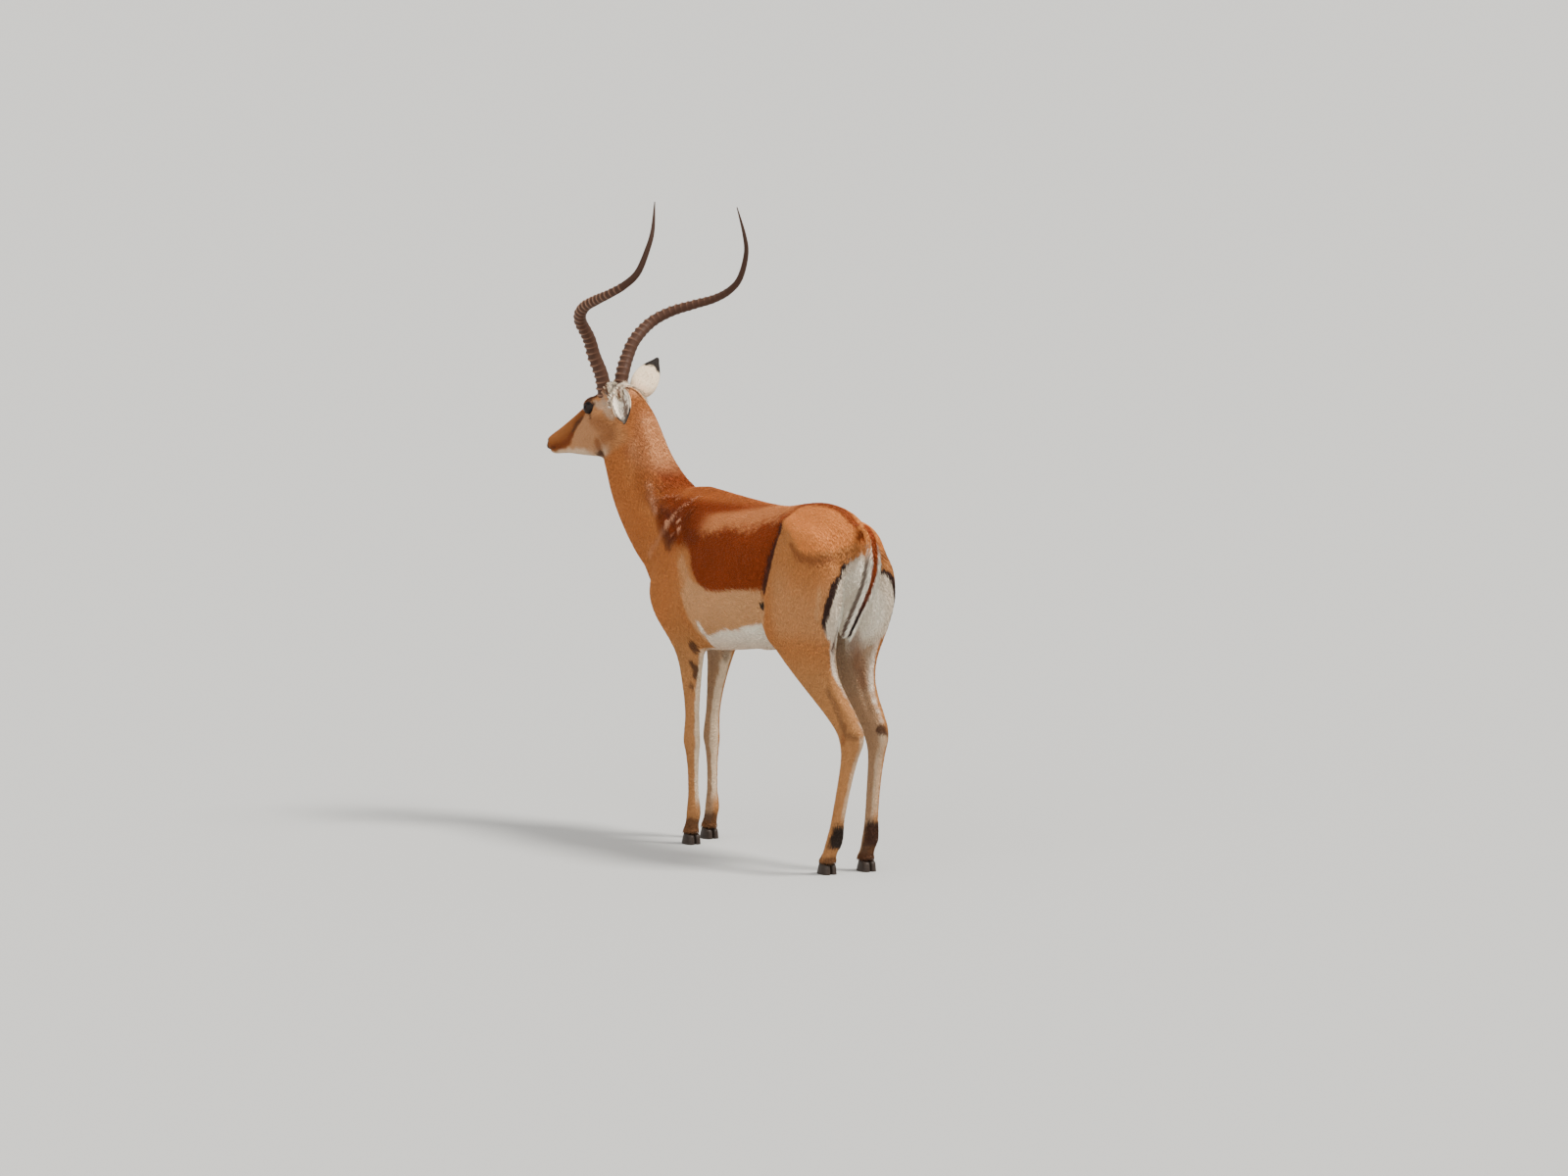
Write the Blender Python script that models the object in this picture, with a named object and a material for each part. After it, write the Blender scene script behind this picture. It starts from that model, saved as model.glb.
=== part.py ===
"""Impala ram standing alert at life size, head turned to its left.

Blender's +Z is up, the animal faces -Y and its left side is +X. Body places are given as
(forward, left, up) in metres and at() turns them into Blender's axes. The soft body is lofted
from tables of sections, fused into one skin by a voxel remesh, and then parted with thin cuts.
"""
import math

import bmesh
import bpy
from mathutils import Matrix, Vector

# Driving dimensions
GAP = 0.0003            # clearance left between neighbouring solids
BOX_CENTRE = (0.0738, 0.0208)  # forward and left distance from the mid-trunk section to the origin
HEAD_LENGTH = 0.300     # occiput to nose tip
POLL = (0.444, 0.075, 1.114)  # back of the skull, on the head's long axis
HEAD_TURN = 18.0        # degrees to the left
HEAD_DROP = 23.0        # degrees below level
HEAD_ROLL = -5.0        # degrees, right side down
EYE = (0.105, 0.0395, 0.026)   # along the head, sideways, above the head's axis
EYE_RADIUS = 0.0165
CORONET = 0.030         # height of the hair line above the middle of each hoof
CORONET_SLOPE = 0.25    # its rise for each metre towards the toe
HOOF_LENGTH = 0.056
FLESH_FACES = 3500      # triangles kept on the parted body
VOXEL = 0.004

TAN = (0.50, 0.27, 0.13)
RUFOUS = (0.30, 0.11, 0.035)
CREAM = (0.75, 0.64, 0.48)
BLACK = (0.02, 0.016, 0.014)
HORN_BROWN = (0.10, 0.06, 0.04)


def clear_scene():
    for obj in list(bpy.data.objects):
        bpy.data.objects.remove(obj, do_unlink=True)


def material(name, colour, roughness):
    mat = bpy.data.materials.get(name) or bpy.data.materials.new(name)
    mat.use_nodes = True
    shader = mat.node_tree.nodes["Principled BSDF"]
    shader.inputs["Base Color"].default_value = (*colour, 1.0)
    shader.inputs["Roughness"].default_value = roughness
    mat.diffuse_color = (*colour, 1.0)
    return mat


def at(forward, left, up):
    """A body place in Blender's axes."""
    return Vector((left - BOX_CENTRE[1], BOX_CENTRE[0] - forward, up))


def head_matrix():
    """From the head's own axes (left, back, up; origin at the poll) to Blender's."""
    turn = Matrix.Rotation(math.radians(HEAD_TURN), 4, "Z")
    drop = Matrix.Rotation(math.radians(HEAD_DROP), 4, "X")
    roll = Matrix.Rotation(math.radians(HEAD_ROLL), 4, "Y")
    return Matrix.Translation(at(*POLL)) @ turn @ drop @ roll


HEAD = head_matrix()


def in_head(along, side, above):
    """A place on the head in Blender's axes."""
    return HEAD @ Vector((side, -along, above))


def smooth_rows(rows, steps):
    """Rows of numbers with steps - 1 new ones between each pair, on a Catmull-Rom curve."""
    out = []
    last = len(rows) - 1
    for i in range(last):
        before, a, b, after = (rows[min(max(k, 0), last)] for k in (i - 1, i, i + 1, i + 2))
        for k in range(steps):
            t = k / steps
            out.append(tuple(
                0.5 * (2 * q + (r - p) * t + (2 * p - 5 * q + 4 * r - s) * t * t
                       + (3 * q - p - 3 * r + s) * t ** 3)
                for p, q, r, s in zip(before, a, b, after)))
    return out + [tuple(rows[last])]


def section(centre, side, up, half_width, top, bottom, power=2.0, count=24):
    """Points of a closed superellipse whose upper and lower halves may differ."""
    points = []
    for k in range(count):
        angle = 2 * math.pi * k / count
        c, s = math.cos(angle), math.sin(angle)
        across = math.copysign(abs(c) ** (2 / power), c) * half_width
        height = math.copysign(abs(s) ** (2 / power), s) * (top if s > 0 else bottom)
        points.append(centre + side * across + up * height)
    return points


def loft(bm, rings):
    """A closed tube through rings of points, with a flat face on each end."""
    loops = [[bm.verts.new(p) for p in ring] for ring in rings]
    faces = []
    for low, high in zip(loops, loops[1:]):
        for k in range(len(low)):
            n = (k + 1) % len(low)
            faces.append(bm.faces.new((low[k], low[n], high[n], high[k])))
    faces.append(bm.faces.new(list(reversed(loops[0]))))
    faces.append(bm.faces.new(loops[-1]))
    bmesh.ops.recalc_face_normals(bm, faces=faces)


def muscle(bm, centre, size, pitch=0.0, yaw=0.0):
    """An ellipsoid: size is its half length, half width and half height. Pitch lifts its front."""
    turn = Matrix.Rotation(math.radians(yaw), 4, "Z") @ Matrix.Rotation(math.radians(-pitch), 4, "X")
    scale = Matrix.Diagonal((size[1], size[0], size[2], 1.0))
    bmesh.ops.create_uvsphere(bm, u_segments=24, v_segments=14, radius=1.0,
                              matrix=Matrix.Translation(centre) @ turn @ scale)


def mesh_object(name, bm, mat=None):
    mesh = bpy.data.meshes.new(name)
    bm.to_mesh(mesh)
    bm.free()
    obj = bpy.data.objects.new(name, mesh)
    bpy.context.scene.collection.objects.link(obj)
    if mat:
        mesh.materials.append(mat)
    return obj


def apply_modifiers(obj):
    """Replaces the mesh by what its modifiers make of it."""
    bpy.context.view_layer.update()
    graph = bpy.context.evaluated_depsgraph_get()
    made = bpy.data.meshes.new_from_object(obj.evaluated_get(graph))
    obj.modifiers.clear()
    old, obj.data = obj.data, made
    bpy.data.meshes.remove(old)
    made.name = obj.name


# Trunk: forward, top, bottom, half width, height of the widest line
TRUNK = (
    (0.412, 0.735, 0.665, 0.020, 0.700),
    (0.385, 0.800, 0.595, 0.056, 0.698),
    (0.345, 0.860, 0.545, 0.082, 0.690),
    (0.290, 0.905, 0.513, 0.102, 0.682),
    (0.230, 0.918, 0.500, 0.115, 0.680),
    (0.150, 0.912, 0.500, 0.127, 0.680),
    (0.050, 0.903, 0.510, 0.138, 0.684),
    (-0.050, 0.896, 0.524, 0.140, 0.692),
    (-0.150, 0.896, 0.550, 0.130, 0.708),
    (-0.240, 0.908, 0.590, 0.112, 0.730),
    (-0.320, 0.916, 0.630, 0.100, 0.750),
    (-0.390, 0.906, 0.655, 0.088, 0.765),
    (-0.440, 0.882, 0.680, 0.066, 0.780),
    (-0.478, 0.850, 0.720, 0.036, 0.790),
)

# Neck: forward, left, up of its centre, then half depth in front, behind, and half width
NECK = (
    (0.235, 0.000, 0.745, 0.130, 0.140, 0.080),
    (0.335, 0.006, 0.795, 0.150, 0.120, 0.090),
    (0.400, 0.020, 0.860, 0.138, 0.108, 0.086),
    (0.438, 0.038, 0.930, 0.122, 0.098, 0.078),
    (0.456, 0.055, 1.000, 0.097, 0.088, 0.074),
    (0.463, 0.067, 1.060, 0.080, 0.078, 0.066),
    (0.470, 0.073, 1.100, 0.064, 0.062, 0.054),
    (0.477, 0.077, 1.132, 0.042, 0.044, 0.040),
    (0.481, 0.079, 1.150, 0.016, 0.018, 0.018),
)

# Head, on its own axis: distance from the poll, top, bottom, half width, squareness
SKULL = (
    (-0.030, 0.024, 0.050, 0.030, 2.2),
    (-0.010, 0.045, 0.070, 0.042, 2.3),
    (0.025, 0.062, 0.088, 0.047, 2.3),
    (0.060, 0.066, 0.103, 0.048, 2.3),
    (0.095, 0.060, 0.105, 0.047, 2.3),
    (0.130, 0.049, 0.099, 0.041, 2.3),
    (0.165, 0.040, 0.085, 0.034, 2.2),
    (0.205, 0.031, 0.067, 0.0280, 2.2),
    (0.240, 0.0235, 0.050, 0.0248, 2.3),
    (0.268, 0.0175, 0.040, 0.0245, 2.4),
    (0.287, 0.0105, 0.030, 0.0215, 2.3),
    (HEAD_LENGTH, 0.000, 0.018, 0.0120, 2.0),
)

# Legs: height, front edge, back edge, inner edge, outer edge, all measured on a square stance
FORELEG = (
    (0.800, 0.270, 0.165, 0.030, 0.080),
    (0.720, 0.330, 0.135, 0.030, 0.106),
    (0.640, 0.360, 0.125, 0.030, 0.112),
    (0.580, 0.340, 0.130, 0.024, 0.105),
    (0.530, 0.296, 0.138, 0.024, 0.090),
    (0.480, 0.258, 0.160, 0.026, 0.079),
    (0.410, 0.241, 0.180, 0.029, 0.071),
    (0.340, 0.234, 0.190, 0.0315, 0.067),
    (0.290, 0.238, 0.191, 0.030, 0.0695),
    (0.262, 0.240, 0.189, 0.0295, 0.0705),
    (0.235, 0.232, 0.191, 0.0325, 0.0675),
    (0.190, 0.226, 0.193, 0.0355, 0.0645),
    (0.130, 0.225, 0.192, 0.0360, 0.0640),
    (0.100, 0.228, 0.187, 0.0335, 0.0665),
    (0.078, 0.231, 0.186, 0.0325, 0.0675),
    (0.055, 0.236, 0.194, 0.0335, 0.0665),
    (0.030, 0.249, 0.198, 0.0300, 0.0700),
    (0.008, 0.254, 0.200, 0.0300, 0.0700),
)
HIND_LEG = (
    (0.830, -0.245, -0.440, 0.040, 0.094),
    (0.770, -0.205, -0.484, 0.034, 0.123),
    (0.700, -0.182, -0.494, 0.028, 0.133),
    (0.640, -0.175, -0.482, 0.026, 0.131),
    (0.585, -0.184, -0.462, 0.026, 0.122),
    (0.535, -0.222, -0.448, 0.028, 0.109),
    (0.490, -0.272, -0.454, 0.030, 0.098),
    (0.445, -0.328, -0.482, 0.031, 0.088),
    (0.400, -0.390, -0.518, 0.033, 0.082),
    (0.365, -0.434, -0.540, 0.034, 0.080),
    (0.335, -0.456, -0.538, 0.036, 0.079),
    (0.300, -0.464, -0.520, 0.039, 0.077),
    (0.250, -0.456, -0.502, 0.041, 0.0745),
    (0.190, -0.443, -0.485, 0.042, 0.0735),
    (0.130, -0.430, -0.471, 0.042, 0.0740),
    (0.100, -0.421, -0.468, 0.040, 0.0760),
    (0.078, -0.413, -0.462, 0.039, 0.0770),
    (0.055, -0.404, -0.446, 0.040, 0.0760),
    (0.030, -0.386, -0.437, 0.0365, 0.0795),
    (0.008, -0.380, -0.434, 0.0365, 0.0795),
)
# How far each foot and each knee or hock stands ahead of the square stance, the height of that
# joint, the height where the leg joins the body, and how far its lower part stands outwards
STANCE = {
    "front_leg_left": {"foot": -0.012, "knee": -0.010, "joint": 0.262, "top": 0.56, "out": 0.0},
    "front_leg_right": {"foot": 0.046, "knee": 0.040, "joint": 0.262, "top": 0.62, "out": -0.006},
    "hind_leg_left": {"foot": 0.004, "knee": -0.020, "joint": 0.350, "top": 0.62, "out": 0.0},
    "hind_leg_right": {"foot": -0.010, "knee": 0.030, "joint": 0.350, "top": 0.62, "out": -0.006},
}
# Blocks that part the legs from the trunk: height, front, back, inner side
FORELEG_BLOCK = ((-0.010, 0.420, 0.050, 0.004), (0.515, 0.370, 0.085, 0.004),
                 (0.600, 0.390, 0.108, 0.020), (0.700, 0.345, 0.160, 0.042),
                 (0.745, 0.305, 0.195, 0.052), (0.770, 0.265, 0.232, 0.060))
HIND_LEG_BLOCK = ((-0.010, -0.300, -0.620, 0.004), (0.500, -0.180, -0.575, 0.008),
                  (0.585, -0.130, -0.560, 0.022), (0.690, -0.165, -0.545, 0.045),
                  (0.800, -0.225, -0.490, 0.068), (0.850, -0.300, -0.410, 0.078))
# Side outline, in the head's frame, of the block that parts the head from the neck: along, above
HEAD_BLOCK = ((-0.038, 0.160), (-0.042, 0.010), (-0.005, -0.085), (0.060, -0.118),
              (0.125, -0.112), (0.200, -0.092), (0.360, -0.092), (0.360, 0.160))
# Middle of each hoof on a square stance: forward and sideways
HOOF_PLACE = {"front": (0.226, 0.0500), "hind": (-0.409, 0.0580)}

# Horn centre line in the head's frame: along, side, above, radius
HORN = (
    (0.0560, 0.0270, 0.0400, 0.0195),
    (0.0387, 0.0402, 0.0899, 0.0188),
    (0.0255, 0.0651, 0.1389, 0.0180),
    (0.0065, 0.0903, 0.1795, 0.0172),
    (-0.0209, 0.1390, 0.2184, 0.0162),
    (-0.0686, 0.1710, 0.2313, 0.0148),
    (-0.1293, 0.1912, 0.2278, 0.0134),
    (-0.1865, 0.2060, 0.2226, 0.0122),
    (-0.2421, 0.2076, 0.2251, 0.0111),
    (-0.2911, 0.2019, 0.2421, 0.0098),
    (-0.3357, 0.1941, 0.2898, 0.0080),
    (-0.3563, 0.1808, 0.3335, 0.0062),
    (-0.3709, 0.1624, 0.4033, 0.0024),
)
RING_SPACING = 0.0175
RING_SHARE = 0.66       # part of the horn that carries rings
RING_RISE = 0.0022

# Tail: forward, left, up of its centre, half thickness, half width
TAIL = (
    (-0.440, 0.000, 0.862, 0.012, 0.014),
    (-0.482, 0.000, 0.868, 0.012, 0.016),
    (-0.512, 0.000, 0.850, 0.0115, 0.019),
    (-0.529, 0.002, 0.812, 0.011, 0.023),
    (-0.532, 0.007, 0.765, 0.0105, 0.027),
    (-0.527, 0.017, 0.710, 0.010, 0.029),
    (-0.517, 0.031, 0.655, 0.009, 0.026),
    (-0.508, 0.045, 0.610, 0.007, 0.019),
    (-0.503, 0.054, 0.582, 0.004, 0.009),
)

# Ears in the head's frame: root, tip, direction the opening faces
EARS = {
    "ear_left": {"root": (-0.004, 0.030, 0.026), "tip": (-0.058, 0.108, -0.072),
                 "opening": (-0.50, 0.80, 0.10)},
    "ear_right": {"root": (-0.010, -0.028, 0.026), "tip": (-0.030, -0.116, 0.116),
                  "opening": (0.50, -0.72, 0.35)},
}
EAR_WIDTH = 0.033       # half width at the widest
EAR_THICKNESS = 0.004


def stance_shift(leg, height):
    """How far ahead of the square stance this leg stands at a height."""
    pose = STANCE[leg]
    if height >= pose["top"]:
        return 0.0
    if height >= pose["joint"]:
        share = (pose["top"] - height) / (pose["top"] - pose["joint"])
        return pose["knee"] * share * share * (3 - 2 * share)
    share = height / pose["joint"]
    return pose["foot"] + (pose["knee"] - pose["foot"]) * share


def add_trunk(bm):
    rings = []
    for forward, top, bottom, width, middle in smooth_rows(TRUNK, 3):
        rings.append(section(at(forward, 0, middle), Vector((1, 0, 0)), Vector((0, 0, 1)),
                             width, top - middle, middle - bottom, 2.15, 32))
    loft(bm, rings)


def add_neck(bm):
    rows = smooth_rows(NECK, 3)
    rings = []
    for k, (forward, left, up, front, back, width) in enumerate(rows):
        a, b = rows[max(k - 1, 0)], rows[min(k + 1, len(rows) - 1)]
        along = (at(*b[:3]) - at(*a[:3])).normalized()
        turn = math.radians(HEAD_TURN) * k / (len(rows) - 1)
        side = Vector((math.cos(turn), math.sin(turn), 0))
        side = (side - along * side.dot(along)).normalized()
        ahead = side.cross(along)
        if ahead.y > 0:
            ahead = -ahead
        rings.append(section(at(forward, left, up), side, ahead, width, front, back, 2.1, 28))
    loft(bm, rings)


def add_head(bm):
    rings = []
    side = (HEAD.to_3x3() @ Vector((1, 0, 0)))
    above = (HEAD.to_3x3() @ Vector((0, 0, 1)))
    for along, top, bottom, width, power in smooth_rows(SKULL, 3):
        rings.append(section(in_head(along, 0, 0), side, above, width, top, bottom, power, 28))
    loft(bm, rings)


def add_leg(bm, leg, table, mirror):
    rings = []
    for height, front, back, inner, outer in smooth_rows(table, 3):
        centre = leg_centre(leg, height, (front + back) / 2, (inner + outer) / 2, mirror)
        rings.append(section(centre, Vector((1, 0, 0)), Vector((0, -1, 0)),
                             (outer - inner) / 2, (front - back) / 2, (front - back) / 2, 2.15, 20))
    loft(bm, rings)


def leg_centre(leg, height, forward, across, mirror):
    pose = STANCE[leg]
    share = min(max((pose["top"] - height) / (pose["top"] - pose["joint"]), 0.0), 1.0)
    return at(forward + stance_shift(leg, height), mirror * (across + pose["out"] * share), height)


def add_muscles(bm):
    """Forms that overlie the lofts: shoulder, arm, haunch, hip, brow, cheek and the like."""
    for side in (1, -1):
        muscle(bm, at(0.235, side * 0.076, 0.740), (0.080, 0.032, 0.125), pitch=-14)
        muscle(bm, at(0.310, side * 0.062, 0.650), (0.046, 0.036, 0.052), pitch=20)
        muscle(bm, at(0.205, side * 0.074, 0.610), (0.090, 0.032, 0.065), pitch=28)
        muscle(bm, at(-0.250, side * 0.058, 0.852), (0.080, 0.034, 0.032), pitch=-8)
        muscle(bm, at(-0.330, side * 0.078, 0.760), (0.135, 0.046, 0.110), pitch=-20)
        muscle(bm, at(-0.425, side * 0.070, 0.705), (0.054, 0.044, 0.125), pitch=-4)
        muscle(bm, at(-0.235, side * 0.084, 0.610), (0.050, 0.038, 0.066), pitch=-10)
    muscle(bm, at(0.360, 0.005, 0.712), (0.070, 0.078, 0.105), pitch=-24)
    muscle(bm, at(-0.400, 0.0, 0.625), (0.028, 0.020, 0.052))
    muscle(bm, at(-0.120, 0.0, 0.542), (0.085, 0.016, 0.016), pitch=-14)


def add_face(bm):
    for side in (1, -1):
        muscle_in_head(bm, (0.100, side * 0.037, 0.036), (0.028, 0.0155, 0.021))
        muscle_in_head(bm, (0.066, side * 0.032, -0.050), (0.048, 0.017, 0.038))
        muscle_in_head(bm, (0.272, side * 0.0135, -0.001), (0.018, 0.012, 0.013))
        muscle_in_head(bm, (0.046, side * 0.028, 0.052), (0.026, 0.021, 0.024))
    muscle_in_head(bm, (0.262, 0.0, -0.026), (0.030, 0.017, 0.0125))


def muscle_in_head(bm, place, size):
    scale = Matrix.Diagonal((size[1], size[0], size[2], 1.0))
    where = Matrix.Translation(Vector((place[1], -place[0], place[2])))
    bmesh.ops.create_uvsphere(bm, u_segments=24, v_segments=14, radius=1.0, matrix=HEAD @ where @ scale)


def soften(obj):
    """Fuses the overlapping forms and rounds the creases between them, least on legs and face."""
    fuse = obj.modifiers.new("fuse", "REMESH")
    fuse.mode = "VOXEL"
    fuse.voxel_size = VOXEL
    apply_modifiers(obj)
    group = obj.vertex_groups.new(name="soft")
    nose, eye = in_head(HEAD_LENGTH, 0, 0), in_head(0.05, 0, 0)
    axis = (nose - eye).normalized()
    for v in obj.data.vertices:
        height = v.co.z
        body = min(max((height - 0.40) / 0.14, 0.0), 1.0)
        near = (v.co - eye).dot(axis)
        beside = (v.co - eye - axis * near).length
        face = 0.16 if near > -0.07 and beside < 0.14 else 1.0
        group.add([v.index], max(0.08, min(body, face)), "REPLACE")
    round_off = obj.modifiers.new("round", "SMOOTH")
    round_off.factor = 0.5
    round_off.iterations = 110
    round_off.vertex_group = "soft"
    apply_modifiers(obj)
    obj.vertex_groups.clear()
    thin = obj.modifiers.new("thin", "DECIMATE")
    thin.ratio = FLESH_FACES / (2 * len(obj.data.polygons))
    thin.use_collapse_triangulate = True
    apply_modifiers(obj)


def grown(obj, by, name):
    """A hidden copy whose faces all stand out by a distance, used as a cutter."""
    bm = bmesh.new()
    bm.from_mesh(obj.data)
    bm.normal_update()
    moves = [(v, v.normal * min(v.calc_shell_factor(), 2.0) * by) for v in bm.verts]
    for v, move in moves:
        v.co += move
    copy = mesh_object(name, bm)
    copy.hide_render = True
    copy.display_type = "WIRE"
    return copy


def boolean(obj, cutter, operation):
    step = obj.modifiers.new("cut", "BOOLEAN")
    step.operation = operation
    step.object = cutter
    step.solver = "EXACT"
    apply_modifiers(obj)


def remove(obj):
    bpy.data.objects.remove(obj, do_unlink=True)


def duplicate(obj, name):
    copy = obj.copy()
    copy.data = obj.data.copy()
    copy.name = name
    copy.data.name = name
    bpy.context.scene.collection.objects.link(copy)
    return copy


def keep_above(obj, point, normal):
    """Cuts the mesh by a plane, closes the cut and keeps the side that the normal points to."""
    bm = bmesh.new()
    bm.from_mesh(obj.data)
    geometry = list(bm.verts) + list(bm.edges) + list(bm.faces)
    cut = bmesh.ops.bisect_plane(bm, geom=geometry, dist=1e-7, plane_co=point,
                                 plane_no=-normal, clear_outer=True)
    edges = [e for e in cut["geom_cut"] if isinstance(e, bmesh.types.BMEdge)]
    bmesh.ops.contextual_create(bm, geom=edges)
    bmesh.ops.triangulate(bm, faces=[f for f in bm.faces if len(f.verts) > 3])
    bmesh.ops.recalc_face_normals(bm, faces=bm.faces)
    bm.to_mesh(obj.data)
    bm.free()


def leg_block(rows, mirror):
    """A hidden cutter around one leg, closed towards the trunk by a leaning inner side."""
    bm = bmesh.new()
    loft(bm, [[at(front, mirror * inner, z), at(front, mirror * 0.30, z),
               at(back, mirror * 0.30, z), at(back, mirror * inner, z)]
              for z, front, back, inner in rows])
    bmesh.ops.triangulate(bm, faces=bm.faces)
    block = mesh_object("leg_block", bm)
    block.hide_render = True
    block.display_type = "WIRE"
    return block


def head_block():
    bm = bmesh.new()
    loft(bm, [[in_head(along, side, above) for along, above in HEAD_BLOCK] for side in (-0.13, 0.13)])
    bmesh.ops.triangulate(bm, faces=bm.faces)
    block = mesh_object("head_block", bm)
    block.hide_render = True
    block.display_type = "WIRE"
    return block


def part_body(body):
    """Divides the fused body into head, neck, trunk and four legs."""
    pieces = {}
    for name, mirror in (("front_leg_left", 1), ("front_leg_right", -1),
                         ("hind_leg_left", 1), ("hind_leg_right", -1)):
        block = leg_block(FORELEG_BLOCK if name.startswith("front") else HIND_LEG_BLOCK, mirror)
        leg = duplicate(body, name)
        boolean(leg, block, "INTERSECT")
        wider = grown(block, GAP, "wider")
        boolean(body, wider, "DIFFERENCE")
        remove(block)
        remove(wider)
        middle = leg_centre(name, 0.0, *HOOF_PLACE[name[:name.index("_")]], mirror)
        keep_above(leg, middle + Vector((0, 0, CORONET + GAP)), Vector((0, CORONET_SLOPE, 1)).normalized())
        pieces[name] = leg
    neck_point, neck_way = at(0.335, 0, 0.800), Vector((0, -0.75, 0.66)).normalized()
    neck = duplicate(body, "neck")
    keep_above(body, neck_point - neck_way * GAP, -neck_way)
    keep_above(neck, neck_point, neck_way)
    head = duplicate(neck, "head")
    block = head_block()
    boolean(head, block, "INTERSECT")
    wider = grown(block, GAP, "wider")
    boolean(neck, wider, "DIFFERENCE")
    remove(block)
    remove(wider)
    body.name = body.data.name = "trunk"
    pieces.update(head=head, neck=neck, trunk=body)
    return pieces


def horn_ring(place, forward, side, radius, rise):
    """A horn section: a little flattened, its rings standing proud in front."""
    above = forward.cross(side)
    points = []
    for k in range(10):
        angle = 2 * math.pi * k / 10
        c, s = math.cos(angle), math.sin(angle)
        proud = radius + rise * (0.55 + 0.45 * c)
        points.append(place + side * proud * c + above * proud * s * 0.92)
    return points


def horn(name, mirror, mat):
    rows = smooth_rows(HORN, 24)
    centres = [in_head(a, mirror * b, c) for a, b, c, _ in rows]
    lengths = [0.0]
    for a, b in zip(centres, centres[1:]):
        lengths.append(lengths[-1] + (b - a).length)
    total = lengths[-1]
    stops, place = [], 0.0
    while place < total * RING_SHARE:
        stops += [(place, 0.0), (place + RING_SPACING * 0.45, RING_RISE)]
        place += RING_SPACING
    smooth_from = place
    stops += [(smooth_from + (total - smooth_from) * k / 9, 0.0) for k in range(10)]
    rings = []
    side = None
    for distance, rise in stops:
        k = next((i for i in range(1, len(lengths)) if lengths[i] >= distance), len(lengths) - 1)
        share = (distance - lengths[k - 1]) / (lengths[k] - lengths[k - 1])
        centre = centres[k - 1].lerp(centres[k], share)
        radius = rows[k - 1][3] + (rows[k][3] - rows[k - 1][3]) * share
        along = (centres[k] - centres[k - 1]).normalized()
        if side is None:
            side = HEAD.to_3x3() @ Vector((0, -1, 0))
        side = (side - along * side.dot(along)).normalized()
        fade = 1.0 - 0.6 * distance / total
        rings.append(horn_ring(centre, along, side, radius, rise * fade))
    bm = bmesh.new()
    loft(bm, rings)
    bmesh.ops.triangulate(bm, faces=bm.faces)
    return mesh_object(name, bm, mat)


def ear(name, mat):
    """A cupped leaf, thickest along its middle."""
    data = EARS[name]
    root, tip = in_head(*data["root"]), in_head(*data["tip"])
    along = (tip - root).normalized()
    a, b, c = data["opening"]
    opening = HEAD.to_3x3() @ Vector((b, -a, c))
    opening = (opening - along * opening.dot(along)).normalized()
    across = along.cross(opening)
    rings = []
    steps, spans = 8, 6
    for i in range(steps + 1):
        t = i / steps
        width = EAR_WIDTH * (0.40 + 0.60 * math.sin(math.pi * min(t / 0.9, 1.0) ** 0.8)) \
            * (1.0 - 0.80 * max(t - 0.45, 0.0) / 0.55)
        cup = width * (1.15 - 0.75 * t)
        centre = root.lerp(tip, t) - opening * 0.010 * math.sin(math.pi * t)
        outer, inner = [], []
        for k in range(spans + 1):
            u = -1 + 2 * k / spans
            rim = centre + across * width * math.sin(u * 1.45) / math.sin(1.45)
            lift = cup * (1 - math.cos(u * 1.45)) * 0.9
            thick = EAR_THICKNESS * (1.1 - 0.6 * abs(u)) * (1.0 - 0.5 * t)
            outer.append(rim + opening * (lift - thick / 2))
            inner.append(rim + opening * (lift + thick / 2))
        rings.append(outer + list(reversed(inner)))
    bm = bmesh.new()
    loft(bm, rings)
    bmesh.ops.triangulate(bm, faces=bm.faces)
    return mesh_object(name, bm, mat)


def tail(mat):
    rows = smooth_rows(TAIL, 2)
    rings = []
    for k, (forward, left, up, thick, width) in enumerate(rows):
        a, b = rows[max(k - 1, 0)], rows[min(k + 1, len(rows) - 1)]
        along = (at(*b[:3]) - at(*a[:3])).normalized()
        side = Vector((1, 0, 0))
        side = (side - along * side.dot(along)).normalized()
        rings.append(section(at(forward, left, up), side, along.cross(side), width, thick, thick, 2.0, 12))
    bm = bmesh.new()
    loft(bm, rings)
    bmesh.ops.triangulate(bm, faces=bm.faces)
    return mesh_object("tail", bm, mat)


def claw(name, leg, mirror, inner, mat):
    """One of a hoof's two claws: a pointed, flat-soled block cut off along the coronet."""
    middle = leg_centre(leg, 0.0, *HOOF_PLACE[leg[:leg.index("_")]], mirror)
    half = HOOF_LENGTH / 2
    away = mirror * (-1 if inner else 1)
    outline = ((1.0, 0.0008, 0.0045), (0.72, 0.0006, 0.0125), (0.15, 0.0006, 0.0190),
               (-0.55, 0.0006, 0.0200), (-1.0, 0.0040, 0.0140))
    loop = [(f, far) for f, _, far in outline] + [(f, near) for f, near, _ in reversed(outline)]
    rings = []
    for share, spread, slip in ((0.0, 1.0, 0.0), (0.5, 0.94, -0.0035), (1.0, 0.84, -0.0065)):
        ring = []
        for forward, beside in loop:
            ahead = forward * half * spread + slip
            top = CORONET + CORONET_SLOPE * ahead
            ring.append(Vector((middle.x + away * beside * (0.5 + 0.5 * spread),
                                middle.y - ahead, top * share)))
        rings.append(ring)
    bm = bmesh.new()
    loft(bm, rings)
    bmesh.ops.triangulate(bm, faces=bm.faces)
    return mesh_object(name, bm, mat)


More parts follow.
